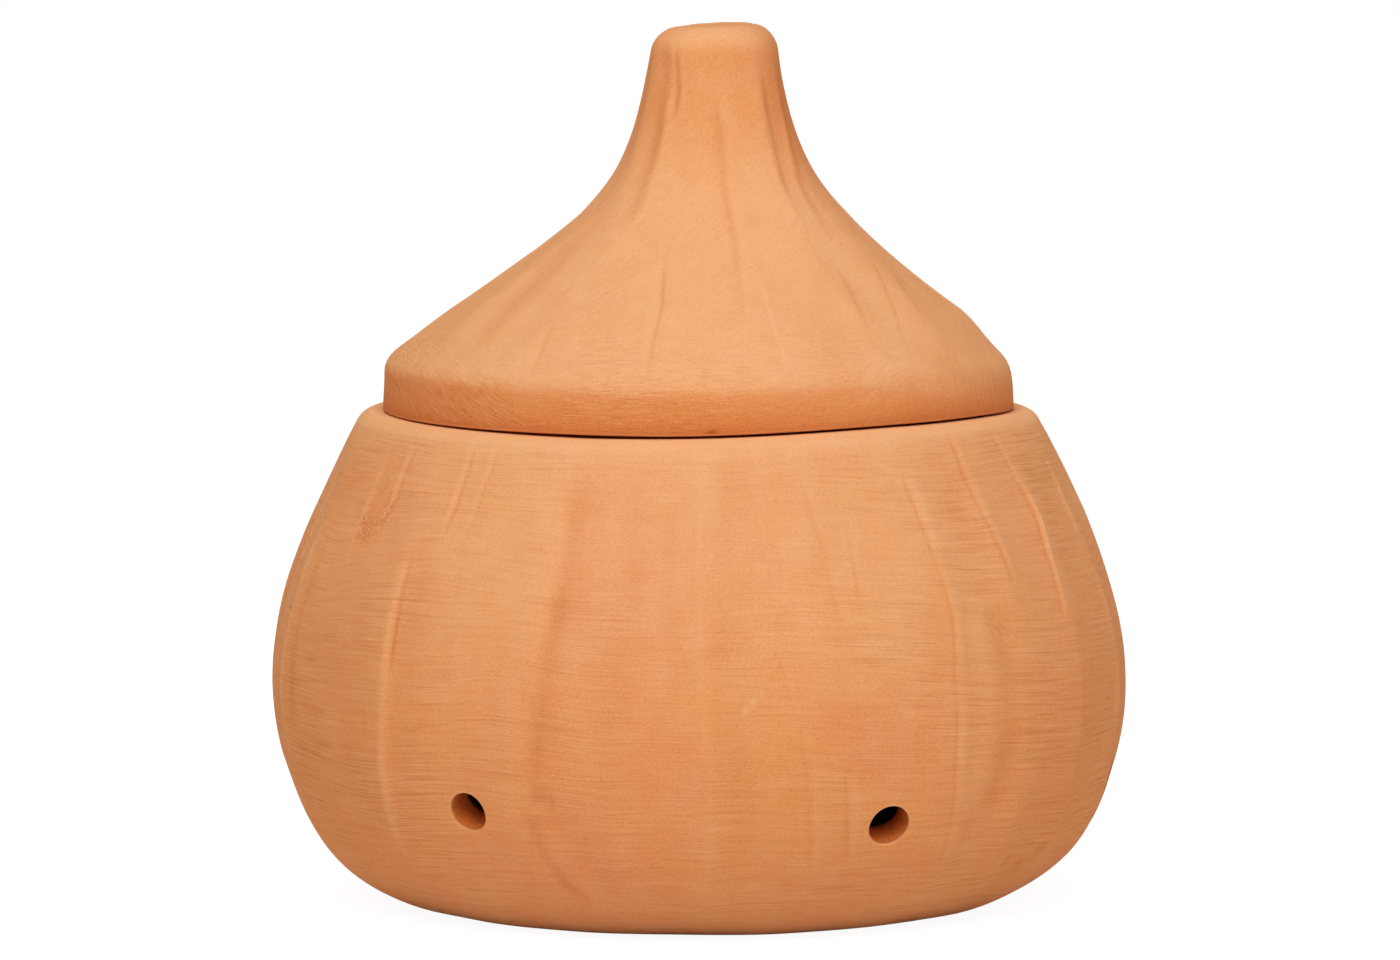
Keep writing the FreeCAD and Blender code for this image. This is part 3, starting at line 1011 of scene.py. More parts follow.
    def bore_vent(
        self,
        patchwork: Patchwork,
        grid: np.ndarray,
        kept: np.ndarray,
        columns: np.ndarray,
        rows: np.ndarray,
        vent: Vent,
    ) -> None:
        """Open the grid of faces on both sides of the wall and join them through a vent.

        Args:
            patchwork: the mesh in the making.
            grid: numbers of its vertices, by row and column.
            kept: which faces of the grid stay, changed here.
            columns: azimuths of the columns.
            rows: runs of the rows.
            vent: the vent.
        """
        azimuth = vent.azimuth
        outer_run, inner_run = self.vent_run(vent.height, True), self.vent_run(vent.height, False)
        reach = math.degrees(self.vent_reach / float(self.outline.radius(outer_run)))
        away = np.abs(wrapped(columns - azimuth))
        start = int(np.argmin(away))
        spread = 1
        while min(away[(start - spread) % len(columns)], away[(start + spread) % len(columns)]) < reach:
            spread += 1
        across = [(start + offset) % len(columns) for offset in range(-spread, spread + 1)]
        half = int(self.vent_reach / self.row_step)
        outer_row, inner_row = (int(np.argmin(abs(rows - run))) for run in (outer_run, inner_run))
        outer_rows = list(range(outer_row - half, outer_row + half + 1))
        inner_rows = list(range(inner_row + half, inner_row - half - 1, -1))
        for low in (outer_rows[0], inner_rows[-1]):
            for column in across[:-1]:
                kept[low : low + 2 * half, column] = False
        edges = []
        for outside, along in ((True, outer_rows), (False, inner_rows)):
            square = [(along[0], c) for c in across[:-1]] + [(r, across[-1]) for r in along[:-1]]
            square += [(along[-1], c) for c in across[:0:-1]] + [(r, across[0]) for r in along[:0:-1]]
            loop = np.array([grid[r, c] for r, c in square])
            turns = azimuth + wrapped(columns[[c for _, c in square]] - azimuth)
            runs = rows[[r for r, _ in square]]
            edges.append(self.patch(patchwork, loop, turns, runs, vent, outside))
        (outer, angles), (inner, _) = edges
        self.bore_wall(patchwork, outer, inner, angles, vent)

    def vent_axes(self, vent: Vent) -> tuple[np.ndarray, np.ndarray, np.ndarray, np.ndarray]:
        """Mouth, inward axis, sideways and upward directions of a vent.

        Args:
            vent: the vent.

        Returns:
            The mouth as a point, and the three directions.
        """
        half = vent.bore / 2
        high, low = self.outer_radius(np.array([vent.height + half, vent.height - half]))
        tilt = math.atan((high - low) / vent.bore) + math.radians(vent.tilted)
        turn = math.radians(vent.azimuth + vent.turned)
        mouth = around(float(self.outer_radius(np.array(vent.height))), vent.azimuth, vent.height)
        level = math.cos(tilt)
        axis = np.array([-math.sin(turn) * level, math.cos(turn) * level, math.sin(tilt)])
        side = np.array([math.cos(turn), math.sin(turn), 0])
        return mouth, axis, side, np.cross(side, axis)

    def on_surface(
        self, vent: Vent, radius: np.ndarray, angles: np.ndarray, outside: bool
    ) -> tuple[np.ndarray, np.ndarray]:
        """Where a ring round a vent's axis meets the wall.

        Args:
            vent: the vent.
            radius: radius of the ring.
            angles: places on the ring, from sideways towards up.
            outside: whether the outside or the inside of the wall is meant.

        Returns:
            Azimuth and run of each place.
        """
        mouth, _, side, up = self.vent_axes(vent)
        run = np.full(len(angles), self.vent_run(vent.height, outside))
        turn = np.full(len(angles), float(vent.azimuth))
        climb = 1 if outside else -1
        for _ in range(SETTLING_STEPS):
            spots = self.outline.spots(turn, run)
            offset = self.place(spots) - mouth
            sideways = (radius * np.cos(angles) - offset @ side) / spots.radius
            turn += np.degrees(sideways) * SETTLING_SHARE
            run += climb * (radius * np.sin(angles) - offset @ up) * SETTLING_SHARE
        return turn, run

    def patch(
        self,
        patchwork: Patchwork,
        loop: np.ndarray,
        turns: np.ndarray,
        runs: np.ndarray,
        vent: Vent,
        outside: bool,
    ) -> tuple[np.ndarray, np.ndarray]:
        """Fill the grid's opening with rings that turn from its square into the vent's circle.

        Args:
            patchwork: the mesh in the making.
            loop: numbers of the vertices round the opening.
            turns: their azimuths.
            runs: their runs.
            vent: the vent.
            outside: whether this is the outside of the wall.

        Returns:
            Numbers of the vertices of the vent's edge, and their angles on the circle.
        """
        middle = self.vent_run(vent.height, outside)
        climb = 1 if outside else -1
        sideways = np.radians(turns - vent.azimuth) * float(self.outline.radius(middle))
        angles = np.arctan2(climb * (runs - middle), sideways)
        bore = vent.bore / 2
        lip = self.outer_lip if outside else self.inner_lip
        below = np.maximum(-np.sin(angles + 0.4), 0)
        chips = 1 + 0.3 * np.sin(3 * angles + vent.azimuth)
        chips += 1.2 * below**3 * np.sin(11 * angles + vent.azimuth)
        turn, run = self.on_surface(vent, bore + lip[0][0], angles, outside)
        rings = [loop]
        steps = 7 if outside else 5
        for step in range(1, steps + 1):
            part = step / steps
            ring_turn, ring_run = turns + (turn - turns) * part, runs + (run - runs) * part
            rings.append(self.add_points(patchwork, ring_turn, ring_run))
        axis = self.vent_axes(vent)[1]
        for wider, depth in lip[1:]:
            edge = self.outline.spots(*self.on_surface(vent, bore + 0.9 * wider * chips, angles, outside))
            places = self.place(edge) + (depth if outside else -depth) * axis
            values = self.values(edge)
            # painted highlight on the upper half of the vent's mouth, and painted shade on the ring deeper
            # in
            values["tone"] += 0.9 * smooth(np.sin(angles), 0, 1) * (depth < 0.1) - 0.4 * (depth > 0.2)
            rings.append(patchwork.add(places, **values))
        for first, second in zip(rings, rings[1:]):
            if outside:
                patchwork.band(first, second)
            else:
                patchwork.band(second, first)
        return rings[-1], angles

    def bore_wall(
        self, patchwork: Patchwork, outer: np.ndarray, inner: np.ndarray, angles: np.ndarray, vent: Vent
    ) -> None:
        """Join the vent's outer and inner edges with the wall of its bore.

        Args:
            patchwork: the mesh in the making.
            outer: numbers of the outer edge's vertices.
            inner: numbers of the inner edge's vertices.
            angles: their angles round the vent.
            vent: the vent.
        """
        places = np.concatenate(patchwork.places)
        first, last = places[outer], places[inner]
        rings = [outer]
        steps = 8
        _, _, side, up = self.vent_axes(vent)
        outward = np.cos(angles)[:, None] * side + np.sin(angles)[:, None] * up
        unmarked = dict.fromkeys(("arc", "lines", "falling", "rising", "upright"), 0.0)
        for step in range(1, steps):
            part = step / steps
            ring = first + (last - first) * part
            rough = 0.07 * np.sin(4 * angles + 5 * part + vent.azimuth) * math.sin(math.pi * part)
            ring += rough[:, None] * outward
            # painted shade: the bore's wall darkens further in, and its cut colour also stands partly for
            # the shade there
            bore_wall_and_painted_shade = {"tone": -0.6 * part, "grit": 0.2, "bare": 2.0, "brush": 6 * angles}
            rings.append(patchwork.add(ring, **bore_wall_and_painted_shade, **unmarked))
        rings.append(inner)
        for one, other in zip(rings, rings[1:]):
            patchwork.band(one, other)


# ----------------------------------------------------------------------- the lid


@dataclass
class Lid(TurnedPiece):
    """The lid: upright band, cone and stem outside, locating ring and hollow inside."""

    underside: float = 81.0
    band_radius: float = 51.9
    lid_rise: float = 62.8
    cone_reach: float = 63.5
    cone_slope: float = 1.49
    shoulder_bend: float = 2.03
    neck_bend: float = 8.64
    stem_radius: float = 8.0
    stem_taper: float = 0.08
    stem_round: float = 4.0
    stem_lean: float = 2.6
    lean_start: float = 7.0
    lean_end: float = 32.0
    stem_corner: float = 48.0
    squareness: float = 0.035
    rib_depth: float = 0.3
    wave_depth: float = 0.14
    turning_depth: float = 0.1
    fullness: float = 0.45
    tip_drop: float = 0.6
    ring_radius: float = 45.5
    ring_wall: float = 5.0
    ring_depth: float = 8.0
    hollow_start: float = 8.0
    roof_start: float = 36.0
    roof_radius: float = 10.0
    band_round: float = 0.2
    ribs: tuple[float, ...] = (-165, -128, -92, -64, -38, -11, 8, 36, 55, 88, 121, 158)
    stem_creases: tuple[float, ...] = (-150, -118, -95, 92, 115, 140, 172)
    row_step: float = 0.9
    inner_rows: tuple[float, ...] = (2.5, 5.5, 8.5)
    throat_rows: tuple[float, ...] = (24, 21, 18, 15.5, 14, 13.2, 12.8, 12.4, 12.0, 11.6, 11.2)
    ring_rows: tuple[float, ...] = (10.2, 9.4, 9.0, 8.6, 8.2, 7.8, 7.4, 7.0, 5, 2.5, 0.6, 0)

    def __post_init__(self) -> None:
        """Work out the outline, the strokes and the waves."""
        inside, outside = self.inside_points(), self.outside_points()
        self.outline = Outline(inside + outside)
        self.band_run = float(self.outline.corner_runs[len(inside) + 8])
        self.top_run = float(self.outline.runs[-1])
        self.ring_run = float(self.outline.corner_runs[len(inside) - 1])
        self.marks = self.front_marks() + self.stem_marks(31) + back_marks(32, self.back_ribs(), 88, 118)
        self.dents = [
            # deeper, more orange clay on both sides of the stem, darker on the right
            Dent(-64.0, 132.0, 6.0, 11.0, tone=0.05, bare=0.4),
            Dent(66.0, 131.0, 6.5, 11.0, tone=-0.4, bare=0.6),
            # a chip in the band's lower edge, with painted shade in it
            Dent(2.4, 81.5, 0.9, 0.5, depth=-0.3, tone=-1.5),
            # a small hollow at the end of the middle crease, with painted shade in it, and a pale speck of
            # clay beside it
            Dent(9.3, 99.6, 0.5, 0.4, -0.14, -0.25),
            Dent(10.3, 99.8, 0.35, 0.3, 0.1, 0.7),
            # the edge between band and cone, uneven on both sides
            Dent(84.0, 91.2, 16.0, 2.4, -0.6),
            Dent(84.0, 96.2, 14.0, 2.0, 0.25),
            Dent(-84.0, 89.0, 26.0, 2.4, 0.5),
            # a bare place over the band, and shallow hollows and bumps on the cone; one hollow is a little
            # darker as painted shade and one bump a little paler as painted light
            Dent(53.0, 91.5, 4.0, 2.5, bare=0.35),
            Dent(-8.0, 93.5, 5.0, 4.0, -0.18, 0.0),
            Dent(30.0, 95.0, 6.0, 5.0, -0.12, -0.05, 0.15),
            Dent(52.0, 96.0, 6.0, 4.0, 0.16, 0.05),
        ]
        self.waves = Waviness(seed=21, most_turns=9)
        self.brushing = Waviness(seed=22, most_turns=7, shortest=30)

    def outer_radius(self, rise: np.ndarray) -> np.ndarray:
        """Outer radius over the ribs at a height above the underside: band, cone, stem.

        Args:
            rise: the heights above the underside.

        Returns:
            The radius at each height.
        """
        cone = self.cone_reach - self.cone_slope * rise
        stem = self.stem_radius + self.stem_taper * (self.lid_rise - rise)
        neck = soft_max(cone, stem, self.neck_bend)
        inset = edge_inset(rise, self.lid_rise, self.stem_round)
        return soft_min(self.band_radius, neck, self.shoulder_bend) - inset

    def inside_points(self) -> list[tuple[float, float]]:
        """The inside of the profile, from the top of the roof down to the ring's outer foot.

        Returns:
            The points, as radius and height.
        """
        inner = self.ring_radius - self.ring_wall
        narrow = (inner, self.underside + self.hollow_start)
        foot = (self.roof_radius, self.underside + self.roof_start)
        run, rise = narrow[0] - foot[0], foot[1] - narrow[1]
        centre = foot[1] - foot[0] * run / rise
        radius = math.hypot(foot[0], foot[1] - centre)
        opening = math.degrees(math.atan2(foot[1] - centre, foot[0]))
        bottom = self.underside - self.ring_depth
        edge = 1.0
        return (
            arc_points((0, centre), 90, opening, radius, 20)
            + [narrow]
            + arc_points((inner + edge, bottom + edge), 180, 270, edge, 6)
            + arc_points((self.ring_radius - edge, bottom + edge), 270, 360, edge, 6)
            + [(self.ring_radius, self.underside)]
        )

    def outside_points(self) -> list[tuple[float, float]]:
        """The outside of the profile, from the underside of the band up to the stem's top.

        Returns:
            The points, as radius and height.
        """
        edge, shoulder = self.band_round, self.lid_rise - self.stem_round
        start = float(self.outer_radius(np.array(edge)))
        band = arc_points((start - edge, self.underside + edge), 270, 360, edge, 7)
        rounding = np.linspace(0, math.pi / 2, 24)
        rises = np.r_[
            np.linspace(edge, shoulder, 220)[1:],
            (shoulder + self.stem_round * np.sin(rounding))[1:],
        ]
        rest = list(zip(self.outer_radius(rises).tolist(), (self.underside + rises).tolist()))
        return band + rest + [(0.0, self.underside + self.lid_rise)]

    def front_marks(self) -> list[Mark]:
        """The strokes on the front half of the lid, from left to right.

        Returns:
            The marks.
        """
        ridge, crease, step = Cut.RIDGE, Cut.CREASE, Cut.STEP
        groove = ((-52, 142.5), (-48, 139.5), (-42.5, 136), (-43, 129.6), (-39, 117), (-37, 110))
        left_seam = ((-18.5, 109), (-17, 106.2), (-13.2, 101), (-12.2, 96), (-11.2, 88))
        left_cut = ((-15.5, 109), (-14.5, 106.2), (-11.1, 100.8), (-10.4, 96.5), (-9.6, 89))
        middle = ((0.4, 134), (3.9, 127.7), (4.8, 122), (6, 116.5), (8.4, 108), (9.4, 99))
        right_cut = ((60.1, 109), (56.3, 104.7), (51.3, 100.6), (46.8, 96.2), (44.5, 91))
        corner = ((43, 138), (42.3, 130), (42.1, 125.3), (39.8, 119), (39, 114))
        return [
            Mark(step, ((-76.9, 120), (-62.6, 107.9), (-57, 95.8), (-56.1, 89)), 3.5, 0.3, 0.12),
            Mark(ridge, ((-62, 141), (-63, 131.9), (-56, 120.8), (-50, 111)), 1.6, 0.25, 0.2),
            Mark(crease, groove, 1.6, 0.38, 0.4, fade=5),
            Mark(ridge, groove, 0.8, 0.2, 0.25, shift=1.7, fade=4),
            Mark(crease, ((-36, 142.3), (-34.7, 140.5), (-30, 134.5), (-29.5, 128)), 0.5, 0.18, 0.6, fade=4),
            Mark(ridge, ((-31, 142.3), (-29.7, 140.5), (-25.5, 134.5), (-25, 128)), 0.7, 0.12, 0.2, fade=4),
            Mark(step, ((-46.3, 111), (-47.1, 100.7), (-47.1, 91)), 3.0, 0.22, -0.1),
            Mark(crease, ((-36, 100), (-34.3, 95), (-31.5, 88.5)), 0.5, 0.07, 0.2),
            Mark(ridge, ((-38, 100), (-36.2, 95), (-33.4, 88.5)), 0.9, 0.1, 0.2),
            Mark(ridge, left_seam, 1.0, 0.14, 0.45),
            Mark(crease, left_cut, 0.35, 0.1, 0.5),
            Mark(crease, middle, 0.8, 0.1, 0.24),
            Mark(crease, middle[:4], 1.8, 0.1, 0.16, shift=-0.8),
            Mark(ridge, middle, 1.3, 0.12, 0.3, shift=1.6),
            Mark(ridge, ((15.2, 106), (15.6, 101), (16.3, 96), (16.8, 88)), 0.55, 0.12, 0.55, fade=4),
            Mark(step, ((36.2, 112), (42.5, 100.9), (49.2, 89)), 2.6, 0.15, -0.08),
            Mark(crease, ((42.4, 109), (41.2, 104), (38.9, 99.5), (36.6, 93)), 0.6, 0.08, 0.24),
            Mark(crease, right_cut, 0.5, 0.08, 0.3),
            Mark(crease, ((67.6, 107), (59.4, 100.3), (54, 94)), 0.6, 0.08, 0.24),
            Mark(ridge, ((34.7, 104), (36.1, 93.7), (39.7, 88.5)), 1.4, 0.14, 0.2),
            Mark(ridge, corner, 2.4, 0.34, 0.1, shift=-1.8),
            Mark(crease, corner, 0.7, 0.2, 0.45),
            Mark(crease, ((68, 139), (64.6, 128.6), (53.8, 119.1), (47.4, 109)), 1.2, 0.22, 0.25),
            Mark(ridge, ((60, 139), (57, 128.6), (48, 119.1), (44, 109)), 1.0, 0.22, 0.35),
            Mark(step, ((74, 118), (68, 108), (62, 97), (60, 90)), 2.8, 0.22, -0.08),
        ]

    def stem_marks(self, seed: int) -> list[Mark]:
        """Creases on the back of the stem.

        Args:
            seed: start of the random draw.

        Returns:
            The marks.
        """
        draw = np.random.default_rng(seed)
        marks = []
        for azimuth in self.stem_creases:
            drift = draw.uniform(-3, 3, 3)
            path = tuple((azimuth + float(d), float(z)) for d, z in zip(drift, (141, 128, 114)))
            marks.append(Mark(Cut.CREASE, path, 0.8, 0.22, 0.35))
        return marks

    def rise(self, spots: Spots) -> np.ndarray:
        """Height above the underside on the outside, and 0 elsewhere."""
        return np.where(spots.run > self.band_run - 2, spots.height - self.underside, 0)

    def relief(self, spots: Spots) -> np.ndarray:
        """How far the surface stands out from the turned outline.

        Args:
            spots: the spots.

        Returns:
            The move outwards at each spot.
        """
        run, rise, top = spots.run, self.rise(spots), self.lid_rise
        shown = share(rise, self.lean_start, 2 * self.lean_start)
        shown = shown * share(top - rise, self.stem_round, 4 * self.stem_round)
        hollows = -self.rib_depth * dish(spots.azimuth, self.ribs) * shown
        below_top = 1 - share(run, self.top_run - 8, self.top_run - 4)
        outside = share(run, self.band_run, self.band_run + 1.5) * below_top
        strokes = self.strokes(spots) + self.wave_depth * self.waves.at(spots)
        strokes += self.fullness * smooth(rise, 10, 17) * (1 - 0.3 * smooth(rise, 28, 38))
        within = 1 - share(run, self.ring_run - 22, self.ring_run - 16)
        rings = self.turning_depth * np.sin(run * 1.3) * within
        return hollows + strokes * outside + rings

    def place(self, spots: Spots) -> np.ndarray:
        """Points of the surface.

        Args:
            spots: the spots.

        Returns:
            The points, as rows of x, y and z.
        """
        radius, height, azimuth = spots.radius, spots.height, spots.azimuth
        out, up = self.outline.normal(spots.run)
        rise, move = self.rise(spots), self.relief(spots)
        leaning = share(rise, self.lean_start, self.lean_end)
        corner = 1 + self.squareness * leaning * np.cos(np.radians(4 * (azimuth - self.stem_corner)))
        side = radius * np.sin(np.radians(azimuth))
        drop = self.tip_drop * smooth(-side, -4, 9) * share(rise, self.lid_rise - 5, self.lid_rise)
        lift = smooth(radius, 46.5, 50.5) * (1 - smooth(height - self.underside, 0.5, 6))
        height = height + up * move - drop + lift * seam_rise(azimuth)
        return around(radius * corner + out * move, azimuth, height, self.stem_lean * leaning)

    def values(self, spots: Spots) -> dict[str, np.ndarray]:
        """Values for the finish at each spot.

        Args:
            spots: the spots.

        Returns:
            The values, by attribute name.
        """
        run, turn, rise = spots.run, wrapped(spots.azimuth), self.rise(spots)
        outside = share(run, self.band_run - 0.2, self.band_run)
        # painted shade on the lid's underside between the locating ring and the band
        under = smooth(run, self.ring_run - 2, self.ring_run) * (1 - outside)
        found = self.mark_values(spots)
        waves = self.brushing.at(spots)
        # painted shade at the foot of the band beside the seam, reaching a little higher on the left
        low = 1.15 * np.exp(-rise / 1.5) + 0.12 * smooth(-turn, 35, 55) * (1 - smooth(rise, 6, 7))
        found["tone"] = found["tone"] * outside - 0.7 * under - low * outside
        # the lid's flanks take more of the bare colour, as painted shade
        edge = smooth(abs(turn), 35, 75) * (0.35 - 0.15 * smooth(rise, 4, 9))
        found["bare"] = np.clip(found["bare"] + self.bare_band(turn, rise, waves) + edge, 0, 1) * outside
        found["brush"] = run + 0.8 * outside * waves
        left = smooth(-turn, 24, 40) * (1 - smooth(-turn, 110, 140)) * (1 - smooth(rise, 11, 17))
        right = smooth(turn, 20, 34) * (1 - smooth(turn, 110, 140)) * (1 - smooth(rise, 8, 14))
        middle = smooth(rise, 12, 20) * (1 - left)
        found["falling"] = np.clip(left, 0, 1) * outside
        found["rising"] = np.clip(middle + 0.8 * right, 0, 1) * outside
        found["upright"] = smooth(turn, 46, 58) * (1 - smooth(rise, 10, 18)) * (turn < 130) * outside
        found["lines"] = (1.2 + 0.5 * left - 0.65 * smooth(rise, 7, 20)) * outside
        return found

    def bare_band(self, turn: np.ndarray, rise: np.ndarray, waves: np.ndarray) -> np.ndarray:
        """How bare the clay of the upright band is: it is worn lower on the right.

        Args:
            turn: azimuth of each spot.
            rise: height of each spot above the underside.
            waves: slow waves, to make its edge uneven.

        Returns:
            The bare share at each spot.
        """
        worn, left = smooth(turn, 32, 54), smooth(-turn, 30, 50)
        top, soft = 6.85 - 1.9 * worn, 0.6 + 0.9 * worn
        fresh = (1 - smooth(rise, 1.5, 6)) * (1 - left) + left
        below = 1 - smooth(rise + 0.3 * waves, top - soft, top + soft)
        band = below * (0.6 + 0.34 * fresh + 0.1 * waves)
        return band * (1 - 0.35 * smooth(abs(turn), 42, 66))

    def rows(self) -> np.ndarray:
        """Runs of the rows, close together on the outside.

        Returns:
            The runs.
        """
        ring, band, top = self.ring_run, self.band_run, self.top_run
        count = int((top - 7 - band) / self.row_step)
        return np.r_[
            self.inner_rows,
            np.arange(11.5, ring - 26, 3.0),
            ring - np.array(self.throat_rows),
            ring - np.array(self.ring_rows),
            np.linspace(ring, band - 0.9, 6)[1:],
            np.linspace(band - 0.9, band - 0.32, 4)[1:],
            np.linspace(band - 0.32, band, 5)[1:],
            np.linspace(band, top - 7, count)[1:],
            np.linspace(top - 7, top - 0.8, 9)[1:],
        ]

    def mesh(self) -> bpy.types.Mesh:
        """The lid's mesh, closed at the roof inside and at the stem's top outside.

        Returns:
            The mesh.
        """
        patchwork = Patchwork()
        columns, rows = self.columns(), self.rows()
        grid = self.add_points(patchwork, columns[None, :], rows[:, None])
        grid = grid.reshape(len(rows), len(columns))
        for first, second in zip(grid, grid[1:]):
            patchwork.band(first, second)
        start, end = self.add_points(patchwork, np.zeros(2), np.array([0.0, self.top_run]))
        patchwork.fan(start, grid[0][::-1])
        patchwork.fan(end, grid[-1])
        return patchwork.mesh("lid_clay")


# ---------------------------------------------------------------------- finishes


class Recipe:
    """The node tree of a material or of the sky, built a step at a time."""

    def __init__(self, owner: bpy.types.Material | bpy.types.World) -> None:
        """Start an empty tree.

        Args:
            owner: the material or the sky.
        """
        owner.use_nodes = True
        self.tree = owner.node_tree
        self.tree.nodes.clear()

    def node(self, kind: str, **settings: object) -> bpy.types.Node:
        """Add a node and set its properties.

        Args:
            kind: its type, as named after ShaderNode.
            settings: its properties, by name.

        Returns:
            The node.
        """
        node = self.tree.nodes.new(f"ShaderNode{kind}")
        for name, value in settings.items():
            setattr(node, name, value)
        return node

    def put(self, socket: bpy.types.NodeSocket, value: object) -> None:
        """Link a socket to another, or set its own value.

        Args:
            socket: the socket.
            value: the other socket, or the value.
        """
        if isinstance(value, bpy.types.NodeSocket):
            self.tree.links.new(value, socket)
        else:
            socket.default_value = value

    def math(self, operation: str, *values: object) -> bpy.types.NodeSocket:
        """A sum, product or other function of numbers.

        Args:
            operation: the function.
            values: its numbers, or sockets that give them.

        Returns:
            The result.
        """
        node = self.node("Math", operation=operation)
        for socket, value in zip(node.inputs, values):
            self.put(socket, value)
        return node.outputs[0]

    def spread(
        self, value: object, low: float, high: float, start: float, end: float
    ) -> bpy.types.NodeSocket:
        """A value between low and high, carried over to the span from start to end.

        Args:
            value: the value.
            low: where it starts to count.
            high: where it stops.
            start: result up to low.
            end: result from high on.

        Returns:
            The result.
        """
        node = self.node("MapRange", interpolation_type="SMOOTHSTEP")
        for socket, given in zip(node.inputs, (value, low, high, start, end)):
            self.put(socket, given)
        return node.outputs[0]

    def blend(self, part: object, first: object, second: object) -> bpy.types.NodeSocket:
        """A colour between two colours.

        Args:
            part: share of the second colour.
            first: the first colour.
            second: the second colour.

        Returns:
            The colour.
        """
        node = self.node("Mix", data_type="RGBA")
        for place, value in ((0, part), (6, first), (7, second)):
            self.put(node.inputs[place], value)
        return node.outputs[2]

    def between(self, part: object, first: object, second: object) -> bpy.types.NodeSocket:
        """A number between two numbers.

        Args:
            part: share of the second number.
            first: the first number.
            second: the second number.

        Returns:
            The number.
        """
        node = self.node("Mix", data_type="FLOAT")
        for place, value in ((0, part), (2, first), (3, second)):
            self.put(node.inputs[place], value)
        return node.outputs[0]

    def noise(
        self, vector: object, scale: float, detail: float = 2.0, roughness: float = 0.5
    ) -> bpy.types.NodeSocket:
        """Uneven values from 0 to 1.

        Args:
            vector: where the values are taken.
            scale: how close together they change.
            detail: how many finer layers lie over them.
            roughness: how strong those layers are.

        Returns:
            The values.
        """
        node = self.node("TexNoise")
        self.put(node.inputs["Vector"], vector)
        for name, value in (("Scale", scale), ("Detail", detail), ("Roughness", roughness)):
            self.put(node.inputs[name], value)
        return node.outputs[0]

    def value(self, name: str) -> bpy.types.NodeSocket:
        """A value stored with the mesh's vertices."""
        return self.node("Attribute", attribute_name=name).outputs["Fac"]

    def seen(self) -> bpy.types.NodeSocket:
        """1 to the camera and in what shines or is clear, and 0 to all other light.

        Returns:
            The number.
        """
        paths = self.node("LightPath")
        seen = self.math("MAXIMUM", paths.outputs["Is Camera Ray"], paths.outputs["Is Glossy Ray"])
        return self.math("MAXIMUM", seen, paths.outputs["Is Transmission Ray"])

    def shader(self, kind: str, **inputs: object) -> bpy.types.NodeSocket:
        """Add a shader.

        Args:
            kind: its type, as named after ShaderNode.
            inputs: its inputs, by name.

        Returns:
            The shader.
        """
        node = self.node(kind)
        for name, value in inputs.items():
            self.put(node.inputs[name], value)
        return node.outputs[0]

    def joined(self, kind: str, *parts: object) -> bpy.types.NodeSocket:
        """Add a shader that mixes or adds others.

        Args:
            kind: its type, as named after ShaderNode.
            parts: what its inputs take, in order.

        Returns:
            The shader.
        """
        node = self.node(kind)
        for socket, part in zip(node.inputs, parts):
            self.put(socket, part)
        return node.outputs[0]

    def serve(self, kind: str, shader: bpy.types.NodeSocket) -> None:
        """Make a shader the tree's result."""
        self.put(self.node(kind).inputs["Surface"], shader)


Colour = tuple[float, float, float, float]
WHITE: Colour = (1.0, 1.0, 1.0, 1.0)


def linear(red: int, green: int, blue: int) -> Colour:
    """A colour from 0 to 255 in each channel, as linear values.

    Args:
        red: the red channel.
        green: the green channel.
        blue: the blue channel.

    Returns:
        The colour, opaque.
    """
    parts = (value / 255 for value in (red, green, blue))
    light = (part / 12.92 if part <= 0.04045 else ((part + 0.055) / 1.055) ** 2.4 for part in parts)
    return (*light, 1.0)


@dataclass(frozen=True)
class FineClay:
    """What the finest structure of the clay is made of: two brushes' lines, grain and torn clay."""

    fine: bpy.types.NodeSocket
    finer: bpy.types.NodeSocket
    grain: bpy.types.NodeSocket
    torn: bpy.types.NodeSocket


